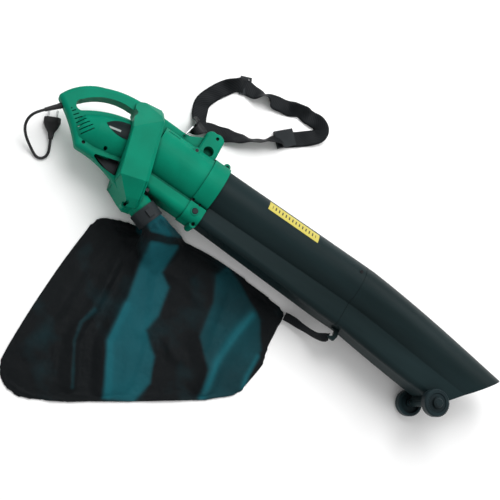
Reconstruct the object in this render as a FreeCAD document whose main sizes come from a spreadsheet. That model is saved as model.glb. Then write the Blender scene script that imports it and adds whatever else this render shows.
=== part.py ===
import FreeCAD, Part
import math
import os
import re

import Sketcher
from FreeCAD import Placement, Rotation, Vector

# Garden vacuum, blower and mulcher, lying on its left side on the ground.
# +X runs along the suction tube towards the nozzle, +Y points to the handle side,
# +Z is up, from the left shell that touches the ground to the right shell.
# The origin is the middle of the flat side of the fan casing, on the ground.

doc = FreeCAD.newDocument("leaf_vacuum_mulcher")
sheet = doc.addObject("Spreadsheet::Sheet", "Sizes")

SIZES = {
    # whole machine
    "half_width": 85,        # ground to the middle plane, which splits the two shells
    "fan_angle": 17,         # motor axis against the suction tube, in the middle plane
    "fan_side": 30,          # motor axis above the origin, across the fan axis
    "shell_wall": 3,
    "fit_gap": 0.2,
    "move_gap": 0.4,
    # suction and blow tubes
    "tube_side": 41,         # suction tube axis above the origin
    "tube_radius": 58,
    "tube_wall": 2.5,
    "duct_half": 33,         # half width of the blow duct at the housing
    "duct_drop": 50,         # blow duct's underside below the origin
    "tube_start": 157,
    "tube_split": 580,
    "tube_end": 1045,
    "tube_overlap": 34,
    "cut_angle": 48,         # slope of the nozzle's oblique end
    "cut_point": 964,        # where that end crosses the X axis
    # motor casing and fan casing
    "motor_bulge": 46,
    "scroll_half": 32,       # fan casing's half length along the fan axis
    "scroll_radius": 68,
    "barrel_radius": 60,
    "barrel_bore": 55.5,
    "collar_start": 150,
    "collar_end": 191,
    "collar_radius": 63.5,
    "grip_half": 18,
    "grip_edge": 11,
    "web_half": 5,
    "pocket_web": 1.6,
    "seam_width": 0.8,
    # bag outlet
    "spigot_angle": 20,
    "spigot_high": 48,
    "spigot_wide": 72,
    "spigot_edge": 21,
    "spigot_length": 40,
    "cuff_length": 34,
    "cuff_wall": 3,
    # motor
    "shaft_radius": 4,
    "core_radius": 21,
    "core_length": 24,
    "air_gap": 1,
    "stator_radius": 35,
    "stator_flat": 26,
    "commutator_radius": 12,
    "bearing_outer": 11,
    "bearing_width": 7,
    "impeller_radius": 62,
    "impeller_height": 24,
    "blade_count": 8,
    "hub_radius": 13,
    "cooler_radius": 30,
    # selector
    "flap_length": 44,
    "flap_half": 30,
    "flap_thick": 3,
    "pivot_radius": 4,
    # switch and button
    "lever_length": 66,
    "lever_width": 14,
    "button_radius": 7,
    "button_travel": 3,
    # wheels
    "wheel_x": 866,
    "wheel_y": -96,
    "wheel_radius": 31.5,
    "wheel_width": 22,
    "wheel_track": 130,
    "axle_radius": 4,
    # fasteners
    "screw_radius": 2,
    "screw_head": 3.8,
    "screw_boss": 4.4,
    "screw_bite": 8,
    # strap and its ring
    "strap_width": 38,
    "strap_thick": 3,
    "wire_radius": 2,
    "ring_half": 24,
    "ring_reach": 24,
    # cord and plug
    "cord_radius": 3.2,
    "plug_width": 37,
    "plug_length": 48,
    "plug_thick": 24,
    # bag
    "bag_thick": 40,
    "bag_corner": 42,
}

for row, (alias, number) in enumerate(SIZES.items(), start=1):
    sheet.set("A%d" % row, str(number))
    sheet.setAlias("A%d" % row, alias)
doc.recompute()


def size(alias):
    """The number that the sheet holds for an alias."""
    return float(getattr(sheet, alias))


def formula(text):
    """A formula that reads the sheet, from one written with bare aliases."""
    return re.sub(r"[a-z][a-z_]+", lambda word: "Sizes." + word.group(), text)


H = size("half_width")
UP = Vector(0, 0, 1)
FAN = Placement(Vector(0, 0, 0), Rotation(UP, size("fan_angle")))
TO_X = Rotation(Vector(0, 1, 0), 90)


def at(x, y, z, turn=Rotation()):
    """A place in the machine's frame, with z counted from the middle plane."""
    return Placement(Vector(x, y, H + z), turn)


def fan_at(x, y, z, turn=Rotation()):
    """A place along and across the fan axis, with z counted from the middle plane."""
    return FAN.multiply(at(x, y, z, turn))


def on_shaft(x):
    """A place on the motor axis whose own Z runs forwards along it."""
    return fan_at(x, size("fan_side"), 0, TO_X)


# ---------------------------------------------------------------- building blocks


def polygon(sketch, points):
    """Draw a closed outline whose corners are formulas of the sheet's cells."""
    count = len(points)
    spots = []
    for index in range(count):
        turn = 2 * math.pi * index / count
        spots.append(Vector(100 + 50 * math.cos(turn), 100 + 50 * math.sin(turn), 0))
    for index in range(count):
        sketch.addGeometry(Part.LineSegment(spots[index], spots[(index + 1) % count]))
    for index in range(count):
        following = (index + 1) % count
        sketch.addConstraint(Sketcher.Constraint("Coincident", index, 2, following, 1))
    for index, (across, along) in enumerate(points):
        for kind, text, axis, value in (
            ("DistanceX", across, -2, spots[index].x),
            ("DistanceY", along, -1, spots[index].y),
        ):
            if text == "0":
                sketch.addConstraint(Sketcher.Constraint("PointOnObject", index, 1, axis))
            else:
                rule = Sketcher.Constraint(kind, -1, 1, index, 1, value)
                number = sketch.addConstraint(rule)
                sketch.setExpression("Constraints[%d]" % number, formula(text))


def sketched_body(label, plane, points):
    """A PartDesign body with one sketched outline on one of its own planes."""
    body = doc.addObject("PartDesign::Body", label)
    sketch = body.newObject("Sketcher::SketchObject", label + "_outline")
    planes = [item for item in body.Origin.OriginFeatures if item.Role == plane]
    sketch.AttachmentSupport = (planes[0], [""])
    sketch.MapMode = "FlatFace"
    polygon(sketch, points)
    return body, sketch


def turned(label, profile, place):
    """A piece turned about its own Z axis from (radius, height) formulas."""
    body, sketch = sketched_body(label, "XZ_Plane", profile)
    turn = body.newObject("PartDesign::Revolution", label + "_turn")
    turn.Profile = sketch
    turn.ReferenceAxis = (sketch, ["V_Axis"])
    turn.Angle = 360
    body.Placement = place
    return body


def padded(label, outline, thick, place):
    """A plate of the given outline, centred on its own XY plane."""
    body, sketch = sketched_body(label, "XY_Plane", outline)
    pad = body.newObject("PartDesign::Pad", label + "_pad")
    pad.Profile = sketch
    pad.Midplane = True
    pad.setExpression("Length", formula(thick))
    body.Placement = place
    return body


def rod(label, radius, length, place):
    """A cylinder along its own Z axis."""
    item = doc.addObject("Part::Cylinder", label)
    item.setExpression("Radius", formula(radius))
    item.setExpression("Height", formula(length))
    item.Placement = place
    return item


def block(label, long, wide, high, place):
    """A box from its own corner."""
    item = doc.addObject("Part::Box", label)
    item.setExpression("Length", formula(long))
    item.setExpression("Width", formula(wide))
    item.setExpression("Height", formula(high))
    item.Placement = place
    return item


def joined(label, items):
    """Several solids fused, or kept side by side where they don't touch."""
    whole = doc.addObject("Part::MultiFuse", label)
    whole.Shapes = items
    return whole


def without(label, base, tool):
    """One solid cut by another."""
    cut = doc.addObject("Part::Cut", label)
    cut.Base = base
    cut.Tool = tool
    return cut


def shaped(label, shape):
    """A piece whose form only Part's own functions give."""
    item = doc.addObject("Part::Feature", label)
    item.Shape = shape
    return item


def bar(x, y, low, high, radius):
    """A plain cylinder across the machine, between two heights from the middle plane."""
    return Part.makeCylinder(radius, high - low, Vector(x, y, H + low), UP)


def slab(x_range, y_range, z_range):
    """A plain box between three pairs of limits, with z from the middle plane."""
    spans = (x_range, y_range, z_range)
    lengths = [top - bottom for bottom, top in spans]
    corner = Vector(x_range[0], y_range[0], H + z_range[0])
    return Part.makeBox(lengths[0], lengths[1], lengths[2], corner)


def path(*legs):
    """A flat closed wire: a 2-tuple is a corner, a 4-tuple is a corner after an arc's midpoint."""
    edges = []
    here = Vector(legs[0][-2], legs[0][-1], 0)
    first = here
    for leg in legs[1:] + (legs[0],):
        there = Vector(leg[-2], leg[-1], 0)
        if leg is legs[0]:
            there = first
        if len(leg) == 4:
            edges.append(Part.Arc(here, Vector(leg[0], leg[1], 0), there).toShape())
        elif there.distanceToPoint(here) > 0.001:
            edges.append(Part.LineSegment(here, there).toShape())
        here = there
    return Part.Wire(edges)


def softened(wire, radius):
    """The same outline with its outward corners rounded."""
    return wire.makeOffset2D(-radius).makeOffset2D(radius)


def slice_of(wire, half, edge=0, below=0):
    """An outline raised from the middle plane, its outer rim rounded."""
    solid = Part.Face(wire).extrude(Vector(0, 0, half + below))
    if edge > 0:
        top = half + below - 0.01
        solid = solid.makeFillet(edge, [rim for rim in solid.Edges if rim.BoundBox.ZMin > top])
    solid.translate(Vector(0, 0, H - below))
    return solid


def tilted(shape):
    """A shape drawn along the fan axis, turned into the machine's frame."""
    return shape.transformed(FAN.toMatrix())


def ellipse_at(x, y, high, wide):
    """An upright ellipse across the tube, high along Y and wide along Z."""
    if high >= wide:
        major, minor, lean = high, wide, Vector(0, 1, 0)
    else:
        major, minor, lean = wide, high, Vector(0, 0, 1)
    centre = Vector(x, y, H)
    other = Vector(1, 0, 0).cross(lean)
    curve = Part.Ellipse(centre + lean * (major + 0.002), centre + other * minor, centre)
    return Part.Wire([curve.toShape()])


def duct_ring(x, low, high, half, edge):
    """The blow duct's section: flat top, rounded underside."""
    def spot(y, z):
        return Vector(x, y, H + z)

    bend = edge * (1 - math.sqrt(0.5))
    edges = [
        Part.LineSegment(spot(high, -half), spot(low + edge, -half)).toShape(),
        Part.Arc(
            spot(low + edge, -half), spot(low + bend, -half + bend), spot(low, -half + edge)
        ).toShape(),
        Part.LineSegment(spot(low, -half + edge), spot(low, half - edge)).toShape(),
        Part.Arc(
            spot(low, half - edge), spot(low + bend, half - bend), spot(low + edge, half)
        ).toShape(),
        Part.LineSegment(spot(low + edge, half), spot(high, half)).toShape(),
        Part.LineSegment(spot(high, half), spot(high, -half)).toShape(),
    ]
    return Part.Wire(edges)


# ---------------------------------------------------------------- the two housing shells


def grip_plan():
    """Outline of the grip loop, rear column and belly strut, drawn along the fan axis."""
    return path(
        (-198, 80),
        (-160, 115, -104, 131.5),
        (-52, 133, 0, 121),
        (36, 110),
        (36, -114),
        (4, -114),
        (-4, -97),
        (-66, -43, -133, -18),
        (-164, 39, -198, 80),
    )


def finger_plan():
    """Outline of the opening under the grip, drawn along the fan axis."""
    return path(
        (-141, 62),
        (-156, 72, -147, 87),
        (-95, 108, -38, 103),
        (-26, 91, -33, 77),
        (-88, 76, -141, 62),
    )


def pocket_plan():
    """Outline of the deep triangular pocket between the motor and the belly strut."""
    return path((-96, -21), (-31, -21), (-32, -56), (-60, -45, -96, -21))


def grip_solid(inset):
    """The loop of the grip with its rounded rims, drawn smaller by an inset."""
    edge = size("grip_edge") - inset
    half = size("grip_half") - inset
    plan = softened(grip_plan(), 9)
    hole = finger_plan()
    if inset > 0:
        plan = plan.makeOffset2D(-inset)
        hole = hole.makeOffset2D(inset)
    return slice_of(plan, half, edge).cut(slice_of(hole, half + 1, below=1))


def motor_casing(inset):
    """The tapered bulge over the motor, drawn smaller by an inset."""
    far = size("motor_bulge") - inset
    profile = path(
        (-142 + inset, 0),
        (-142 + inset, far - 26),
        (-130 + inset, far - 14),
        (-96, far - 5),
        (-60, far - 1),
        (-26, far),
        (-26, 0),
    )
    solid = Part.Face(profile).revolve(Vector(0, 0, 0), Vector(1, 0, 0), 360)
    solid.translate(Vector(0, size("fan_side"), H))
    return solid


def scroll_block(inset):
    """The fan casing: a faceted drum with a flat side, drawn smaller by an inset."""
    half = size("scroll_half")
    wide = H - inset
    corners = [(126, 20), (80, wide), (-64, wide), (-100, 54 - inset), (-115 + inset, 34 - inset)]
    section = corners + [(y, -z) for y, z in reversed(corners)]
    points = [Vector(-half + inset, y, H + z) for y, z in section]
    solid = Part.Face(Part.makePolygon(points + [points[0]])).extrude(
        Vector(2 * half - 2 * inset, 0, 0)
    )
    if inset == 0:
        front = [rim for rim in solid.Edges if rim.BoundBox.XMin > half - 0.01]
        solid = solid.makeChamfer(8, front)
        rear = [rim for rim in solid.Edges if rim.BoundBox.XMax < -half + 0.01]
        solid = solid.makeFillet(3, rear)
    # the rear lower corner is cut back to the line of the belly strut
    corner = path((-80, -66 + inset), (-29 + inset, -66 + inset), (9 + inset, -118), (-80, -118))
    solid = solid.cut(Part.Face(corner).extrude(Vector(0, 0, 4 * H)))
    # a sloping face runs from the flat side back to the foot of the grip
    slope = Vector(-0.35, 0.63, 0.70)
    wedge = Part.makeBox(400, 400, 200, Vector(-200, -200, 0))
    wedge.Placement = Placement(
        Vector(-28, 45.6, 2 * H) - slope * inset, Rotation(UP, slope)
    )
    return solid.cut(wedge)


def ridge_solid(inset):
    """The rib along the top of the barrel, drawn smaller by an inset."""
    plan = softened(
        path((-30, 50), (-30, 117.5), (58, 115), (74, 116.5), (104, 135), (112, 50)), 3
    )
    if inset > 0:
        plan = plan.makeOffset2D(-inset)
    return slice_of(plan, 12 - inset, 5 - inset)


def front_grip_solid(inset):
    """The upright front grip over the barrel, drawn smaller by an inset."""
    plan = softened(
        path((102, 50), (102, 134), (106, 151, 121, 154), (136, 155, 146, 146), (153, 50)), 5
    )
    if inset > 0:
        plan = plan.makeOffset2D(-inset)
    return slice_of(plan, 23 - inset, 7 - inset)


def outer_form():
    """What the right shell encloses, from the middle plane up."""
    barrel_y = size("tube_side")
    grip = tilted(grip_solid(0))
    motor = tilted(motor_casing(0))
    scroll = tilted(scroll_block(0))
    scroll = scroll.cut(slab((-200, 200), (117.5, 300), (-H - 1, H + 1)))
    barrel = Part.makeCylinder(
        size("barrel_radius"), 132, Vector(20, barrel_y, H), Vector(1, 0, 0)
    )
    collar_length = size("collar_end") - size("collar_start")
    collar = Part.makeCylinder(
        size("collar_radius"), collar_length, Vector(size("collar_start"), barrel_y, H),
        Vector(1, 0, 0),
    )
    low = -size("duct_drop")
    half = size("duct_half")
    duct = Part.Face(duct_ring(10, low - 3, -19, half + 3, 16)).extrude(Vector(142, 0, 0))
    duct_collar = Part.Face(
        duct_ring(size("collar_start"), low - 6, -17, half + 6, 18)
    ).extrude(Vector(collar_length, 0, 0))
    # a groove runs between the barrel and the duct, with this neck as its floor
    neck = slab((10, size("collar_end")), (-30, 10), (0, NECK_HALF + 6))
    spigot = spigot_prism(size("spigot_high"), size("spigot_wide"), size("spigot_edge"), -40,
                          size("spigot_length"))
    whole = grip.multiFuse(
        [motor, scroll, barrel, collar, duct, duct_collar, neck, ridge_solid(0),
         front_grip_solid(0), spigot]
        + [bar(x, y, -half_long, half_long, 8) for x, y, half_long in LUGS]
        + [bar(SHORT_SCREWS[0][0], SHORT_SCREWS[0][1], 30, 46, 7)]
        + [bar(BUTTON[0], BUTTON[1], 30, 40.5, size("button_radius") + 2.5)]
    )
    return whole.common(slab((-400, 400), (-300, 300), (0, 2 * H)))


# half width of the neck between suction tube and blow duct where the housing holds them
NECK_HALF = 22

# fastening lugs that stand out of the outline: place and half length across the machine
LUGS = [(36, -103, 17), (182, 105, 11), (183, -56, 24)]

# every screw through the shells: place, and height of its head above the middle plane
SCREWS = [
    (-112, -39, 9),
    (-66, -25, 9),
    (36, -103, 10),
    (183, -56, 16),
    (182, 105, 6),
    (128, 143, 14),
]

# short screws that only enter the right shell or the tube: place and height of the head's top
SHORT_SCREWS = [(101, 84, 46), (153, -12, 31), (172, -14.5, 31), (566, 68, 54)]

SPIGOT_ROOT = Vector(66, -84, 0)
PIVOT = (58, -54)
LEVER_REAR = -128
FLAP_REST = 129.5
BUTTON = (170, -33)
RING_ROOT = (62, 109)
RELIEF_ROOT = Vector(-193, 9, H)
RELIEF_WAY = Vector(-0.63, -0.78, 0)


def spigot_prism(high, wide, edge, start, end):
    """A length of the bag outlet's rounded section, along the outlet's own axis."""
    outline = path(
        (-high / 2, -wide / 2), (high / 2, -wide / 2), (high / 2, wide / 2), (-high / 2, wide / 2)
    )
    face = Part.Face(softened(outline, edge))
    # the section's own x becomes the outlet's height, its own y the machine's Z
    solid = face.extrude(Vector(0, 0, end - start))
    solid.translate(Vector(0, 0, start))
    frame = Rotation(Vector(0, 1, 0), Vector(0, 0, 1), Vector(1, 0, 0), "XYZ")
    lean = Rotation(UP, -size("spigot_angle"))
    solid.Placement = Placement(SPIGOT_ROOT + Vector(0, 0, H), lean.multiply(frame)).multiply(
        solid.Placement
    )
    return solid


def inner_space():
    """The hollow inside both shells."""
    wall = size("shell_wall")
    web = size("web_half")
    low = -size("duct_drop")
    half = size("duct_half")
    gap = size("fit_gap")
    grip = grip_solid(wall).cut(Part.makeBox(200, 500, 400, Vector(-38, -250, 0)))
    pocket = pocket_plan().makeOffset2D(wall)
    grip = grip.cut(slice_of(pocket, H, below=1))
    motor = motor_casing(wall)
    motor = motor.cut(Part.makeBox(200, 500, 400, Vector(-27, -250, 0)))
    motor = motor.cut(slice_of(pocket, H, below=1))
    chamber = Part.makeCylinder(
        size("scroll_radius"), 50, Vector(-22, size("fan_side"), H), Vector(1, 0, 0)
    )
    lower = scroll_block(4).common(Part.makeBox(400, 200, 400, Vector(-22, -216, -100)))
    shaft_hole = Part.makeCylinder(17, 20, Vector(-39, size("fan_side"), H), Vector(1, 0, 0))
    fan_side = [tilted(item) for item in (grip, motor, chamber, lower, shaft_hole)]
    bore = Part.makeCylinder(
        size("barrel_bore"), size("tube_start") - 20, Vector(20, size("tube_side"), H),
        Vector(1, 0, 0),
    )
    duct = Part.Face(duct_ring(30, low, low + 31, half, 13)).extrude(
        Vector(size("tube_start") - 30, 0, 0)
    )
    socket_start = size("tube_start") - 1
    tube_socket = Part.makeCylinder(
        size("tube_radius") + gap, 60, Vector(socket_start, size("tube_side"), H),
        Vector(1, 0, 0),
    )
    duct_socket = Part.Face(
        duct_ring(socket_start, low - gap, -19 + gap, half + gap, 13)
    ).extrude(Vector(60, 0, 0))
    neck_socket = slab((socket_start, socket_start + 60), (-25, 10), (-1, NECK_HALF + gap))
    outlet = spigot_prism(
        size("spigot_high") - 2 * wall, size("spigot_wide") - 2 * wall,
        size("spigot_edge") - wall, -38, size("spigot_length") + 5,
    )
    finger_pocket = bar(126, 106, size("web_half"), H, 12)
    barrel_skin = Part.makeCylinder(
        size("barrel_radius"), 132, Vector(20, size("tube_side"), H), Vector(1, 0, 0)
    )
    ribs = [
        form.cut(barrel_skin).cut(bar(126, 106, 0, H, 12 + wall)).cut(tilted(scroll_block(0)))
        for form in (ridge_solid(wall), front_grip_solid(wall))
    ]
    recess = Part.Face(softened(pocket_plan(), 4)).extrude(Vector(0, 0, H))
    recess.translate(Vector(0, 0, H + size("pocket_web")))
    fingers = slice_of(finger_plan(), H, below=1)
    return fan_side + ribs + [
        bore, duct, tube_socket, duct_socket, neck_socket, outlet, tilted(recess), tilted(fingers),
        finger_pocket.cut(barrel_skin),
    ]


def vent_slots():
    """Seven slanted slots and one dot beside the rear edge, through both shells."""
    slots = [Part.makeCylinder(1.6, 200, Vector(-163, 60, 0), UP)]
    for index in range(7):
        start = Vector(-160 + 5.2 * index, 53 - 7.6 * index, 0)
        length = min(9 + 4.5 * index, 30)
        slot = Part.makeBox(length, 2.2, 2 * H, Vector(0, 0, 0))
        slot.Placement = Placement(start, Rotation(UP, 38))
        slots.append(slot)
    return [tilted(slot) for slot in slots]


def screw_posts():
    """Screw posts from the middle plane up to the skin."""
    return [bar(x, y, 0, H, size("screw_boss")) for x, y, head in SCREWS]


def screw_holes():
    """Head recesses from the right side and clearance holes below them."""
    gap = size("fit_gap")
    holes = []
    for x, y, head in SCREWS:
        holes.append(bar(x, y, head, H + 10, size("screw_head") + gap))
        holes.append(bar(x, y, -1, head, size("screw_radius") + gap))
    return holes


def pilot_holes():
    """Blind holes in the left shell that the screws bite into."""
    deep = size("screw_bite") + 1
    return [bar(x, y, -deep, 1, size("screw_radius")) for x, y, head in SCREWS]


def switch_slot():
    """The opening in the top of the grip that the thumb lever fills."""
    wide = size("lever_width") / 2 + size("move_gap")
    end = size("move_gap") + 0.6
    long = size("lever_length") + 2 * end
    return tilted(Part.makeBox(long, 30, 2 * wide, Vector(LEVER_REAR - end, 118, H - wide)))


def outlets_for_moving_parts():
    """Holes for the flap's shaft, the strap ring and the cord, alike in both shells."""
    gap = size("move_gap")
    pivot = bar(PIVOT[0], PIVOT[1], -1, H, size("pivot_radius") + 0.1)
    ring = bar(RING_ROOT[0], RING_ROOT[1], -1, H, size("wire_radius") + 0.3)
    relief = Part.makeCylinder(5.5, 40, Vector(0, 0, -20), UP)
    relief.Placement = Placement(RELIEF_ROOT, Rotation(UP, RELIEF_WAY))
    flange = Part.makeCylinder(8.5, 4.2, Vector(0, 0, -10.1), UP)
    flange.Placement = relief.Placement
    sweep = bar(PIVOT[0], PIVOT[1], -1, size("flap_half") + gap, size("flap_length") + 1)
    sweep = sweep.common(slab((-20, PIVOT[0] + 6), (-100, -20), (-1, H)))
    return [pivot, ring, relief, flange, sweep]


# ---------------------------------------------------------------- shells and their fasteners

SKIN = outer_form()
HALF = SKIN
for space in inner_space():
    HALF = HALF.cut(space)
HALF = HALF.multiFuse([post.common(SKIN) for post in screw_posts()])
HALF = HALF.cut(Part.makeCompound(vent_slots()))
HALF = HALF.cut(switch_slot())
# a shallow slit beside the rib along the barrel
HALF = HALF.cut(slab((27, 57), (83.5, 87.5), (37.5, 50)))
HALF = HALF.cut(Part.makeCompound(outlets_for_moving_parts()))
for solid in sorted(HALF.Solids, key=lambda item: item.Volume):
    c = solid.CenterOfMass
    print("half", round(solid.Volume / 1000, 2), [round(n) for n in (c.x, c.y, c.z)])
BODY = max(HALF.Solids, key=lambda item: item.Volume)

button_hole = bar(BUTTON[0], BUTTON[1], 20, H, size("button_radius") + size("move_gap"))
short_holes = [
    bar(x, y, head - 2.4, head + 8, size("screw_head") + size("fit_gap"))
    .fuse(bar(x, y, head - 9, head, size("screw_radius")))
    for x, y, head in SHORT_SCREWS
]
shaped("right_housing", BODY.cut(Part.makeCompound(screw_holes() + [button_hole] + short_holes)))
shaped(
    "left_housing",
    BODY.mirror(Vector(0, 0, H), UP).cut(Part.makeCompound(pilot_holes())),
)


def screw(label, x, y, head, foot):
    """A cross-head screw, its head's top at a height from the middle plane."""
    shank = rod(label + "_shank", "screw_radius - 0.02", str(head - foot - 2), at(x, y, foot))
    cap = rod(label + "_cap", "screw_head", "2.4", at(x, y, head - 2.4))
    slot = block(label + "_slot", "5", "1.2", "1.5", at(x - 2.5, y - 0.6, head - 1.2))
    cross = block(label + "_cross", "1.2", "5", "1.5", at(x - 0.6, y - 2.5, head - 1.2))
    return without(
        label, joined(label + "_solid", [shank, cap]), joined(label + "_recess", [slot, cross])
    )


def group(label, items):
    """Separate solids that share one node."""
    whole = doc.addObject("Part::Compound", label)
    whole.Links = items
    return whole


long_screws = [
    screw("housing_screw_%d" % number, x, y, head + 2.4, -size("screw_bite"))
    for number, (x, y, head) in enumerate(SCREWS, start=1)
]
group("housing_screws", long_screws)
short_screws = [
    screw("collar_screw_%d" % number, x, y, head, head - 9)
    for number, (x, y, head) in enumerate(SHORT_SCREWS[:3], start=1)
]
group("collar_screws", short_screws)


# ---------------------------------------------------------------- double tube

# sections of the tubes: x, axis, half height and half width of the suction tube, then the
# underside and half width of the blow duct
HOLD = (size("tube_start"), size("tube_side"), size("tube_radius"), size("tube_radius"),
        -size("duct_drop"), size("duct_half"))
LEAVE = (size("collar_end") + 2,) + HOLD[1:]
MEET = (size("tube_split") - 44, 39.5, 61, 58, -64, 37)
SPLIT = (size("tube_split"),) + MEET[1:]
BEND = (size("tube_split") + 24,) + MEET[1:]
MIDDLE = (733, 27.5, 63, 57, -77, 40)
WHEELS = (size("wheel_x"), 10, 65.5, 54.5, -87, 44)
NOZZLE = (size("tube_end"), -15, 67, 52, -97, 46)


def suction_form(sections, inset, smooth=False):
    """A length of the suction tube, drawn smaller by an inset."""
    rings = [
        ellipse_at(x, axis, high - inset, wide - inset)
        for x, axis, high, wide, low, half in sections
    ]
    return Part.makeLoft(rings, True, not smooth)


def blow_form(sections, inset, top=0, smooth=False):
    """A length of the blow duct under it, drawn smaller by an inset."""
    rings = []
    for x, axis, high, wide, low, half in sections:
        roof = axis - high + top if inset > 0 or top else axis - high / 2
        rings.append(duct_ring(x, low + inset, roof, half - inset, 14 - inset))
    return Part.makeLoft(rings, True, not smooth)


def stretched(section, x):
    """The same section at another place along the tube."""
    return (x,) + section[1:]


WALL = size("tube_wall")
ROOF = -WALL - 2
SLEEVE = size("tube_overlap")

# first length: its rear end fits the collar, its front end is a socket
held = suction_form([HOLD, LEAVE], 0)
held_duct = Part.Face(duct_ring(HOLD[0], HOLD[4], -19, HOLD[5], 13)).extrude(
    Vector(LEAVE[0] - HOLD[0], 0, 0)
)
held_neck = slab((HOLD[0], LEAVE[0]), (-25, 0), (-NECK_HALF, NECK_HALF))
upper_outer = held.multiFuse([
    held_duct, held_neck,
    suction_form([LEAVE, MEET], 0), suction_form([MEET, SPLIT], 0),
    blow_form([LEAVE, MEET], 0), blow_form([MEET, SPLIT], 0),
])
near_end = stretched(HOLD, HOLD[0] - 1)
upper_inner = suction_form([near_end, LEAVE], WALL).multiFuse([
    suction_form([LEAVE, MEET], WALL), suction_form([MEET, stretched(MEET, SPLIT[0] + 1)], WALL),
    blow_form([near_end, LEAVE], WALL, ROOF), blow_form([LEAVE, MEET], WALL, ROOF),
    blow_form([MEET, stretched(MEET, SPLIT[0] + 1)], WALL, ROOF),
])
joint_x, joint_y, joint_z = SHORT_SCREWS[3]
tube_screw_hole = bar(joint_x, joint_y, 40, 60, size("screw_radius")).fuse(
    bar(joint_x, joint_y, joint_z - 2.4, 60, size("screw_head") + size("fit_gap"))
)
duct_screw_holes = [
    bar(x, y, head - 9, head, size("screw_radius")) for x, y, head in SHORT_SCREWS[1:3]
]
seam = [stretched(MEET, SPLIT[0] - size("seam_width")), stretched(MEET, SPLIT[0] + 1)]
groove = suction_form(seam, -1).fuse(blow_form(seam, -1)).cut(
    suction_form(seam, size("seam_width")).fuse(blow_form(seam, size("seam_width")))
)
upper_tube = upper_outer.cut(upper_inner).cut(groove)
upper_tube = upper_tube.cut(Part.makeCompound(duct_screw_holes + [tube_screw_hole]))
shaped("upper_tube", upper_tube)

# second length: a sleeve that enters the socket, then a bend down to the oblique nozzle
GAP = size("fit_gap")
sleeve_start = stretched(MEET, SPLIT[0] - SLEEVE)
sleeve_stop = stretched(MEET, SPLIT[0] + 1)
sleeve = suction_form([sleeve_start, sleeve_stop], WALL + GAP).cut(
    suction_form([stretched(MEET, SPLIT[0] - SLEEVE - 1), stretched(MEET, SPLIT[0] + 2)],
                 2 * WALL + GAP)
)
duct_sleeve = blow_form([sleeve_start, sleeve_stop], WALL + GAP, ROOF).cut(
    blow_form([stretched(MEET, SPLIT[0] - SLEEVE - 1), stretched(MEET, SPLIT[0] + 2)],
              2 * WALL + GAP, ROOF - WALL)
)
# a shoulder just past the socket joins the sleeves to the wall
step = [stretched(MEET, SPLIT[0] + 0.3), stretched(MEET, SPLIT[0] + 4)]
through = [stretched(MEET, SPLIT[0] - 1), stretched(MEET, SPLIT[0] + 5)]
shoulder = suction_form(step, 1).cut(suction_form(through, 2 * WALL + GAP)).multiFuse([
    blow_form(step, 1, ROOF).cut(blow_form(through, 2 * WALL + GAP, ROOF - WALL))
])
after = [BEND, MIDDLE, WHEELS, NOZZLE]
lower_outer = suction_form([SPLIT, BEND], 0).multiFuse([
    suction_form(after, 0, True), blow_form([SPLIT, BEND], 0), blow_form(after, 0, 0, True),
])
past = stretched(NOZZLE, NOZZLE[0] + 1)
lower_inner = suction_form([stretched(MEET, SPLIT[0] - 1), BEND], WALL).multiFuse([
    suction_form(after, WALL, True),
    blow_form([stretched(MEET, SPLIT[0] - 1), BEND], WALL, ROOF),
    blow_form(after, WALL, ROOF, True),
])
axle_lug = bar(size("wheel_x"), size("wheel_y"), -40, 40, 9).fuse(
    slab((size("wheel_x") - 12, size("wheel_x") + 12), (size("wheel_y"), -80), (-40, 40))
)
axle_hole = bar(size("wheel_x"), size("wheel_y"), -60, 60, size("axle_radius"))
nozzle_cut = Part.makeBox(300, 600, 600, Vector(0, -300, -300))
nozzle_cut.Placement = Placement(
    Vector(size("cut_point"), 0, H), Rotation(UP, size("cut_angle") - 90)
)
lower_tube = lower_outer.fuse(axle_lug).cut(lower_inner).multiFuse(
    [sleeve, duct_sleeve, shoulder]
)
lower_tube = lower_tube.cut(axle_hole).cut(nozzle_cut).cut(tube_screw_hole)
shaped("lower_tube", lower_tube)
screw("joint_screw", joint_x, joint_y, joint_z, joint_z - 10)

hook_plan = path(
    (584, -64), (603, -64), (606, -80), (602, -92), (588, -92), (585, -87),
    (591, -85, 596, -80), (594, -71), (584, -68),
)
hook = Part.Face(hook_plan).extrude(Vector(0, 0, 8))
hook.translate(Vector(0, 0, H - 4))
shaped("belly_hook", hook)

# warning label bent round the suction tube
band = [LEAVE, MEET]
label_skin = suction_form(band, -0.3).cut(suction_form(band, 0))
shaped("warning_label", label_skin.common(slab((304, 442), (64, 88), (0, H))))

# ---------------------------------------------------------------- wheels

rod("wheel_axle", "axle_radius", "wheel_track + 30",
    at(size("wheel_x"), size("wheel_y"), -size("wheel_track") / 2 - 15))
wheel_profile = [
    ("axle_radius + 0.1", "-wheel_width / 2"),
    ("axle_radius + 5", "-wheel_width / 2"),
    ("axle_radius + 5", "-3"),
    ("wheel_radius - 7", "-3"),
    ("wheel_radius - 7", "-wheel_width / 2"),
    ("wheel_radius - 2.5", "-wheel_width / 2"),
    ("wheel_radius", "-wheel_width / 2 + 3"),
    ("wheel_radius", "wheel_width / 2 - 3"),
    ("wheel_radius - 2.5", "wheel_width / 2"),
    ("wheel_radius - 9", "wheel_width / 2"),
    ("wheel_radius - 10.5", "wheel_width / 2 - 2"),
    ("axle_radius + 0.1", "wheel_width / 2 - 2"),
]
turned("right_wheel", wheel_profile,
       at(size("wheel_x"), size("wheel_y"), size("wheel_track") / 2))
turned("left_wheel", wheel_profile,
       at(size("wheel_x"), size("wheel_y"), -size("wheel_track") / 2,
          Rotation(Vector(1, 0, 0), 180)))
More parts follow.
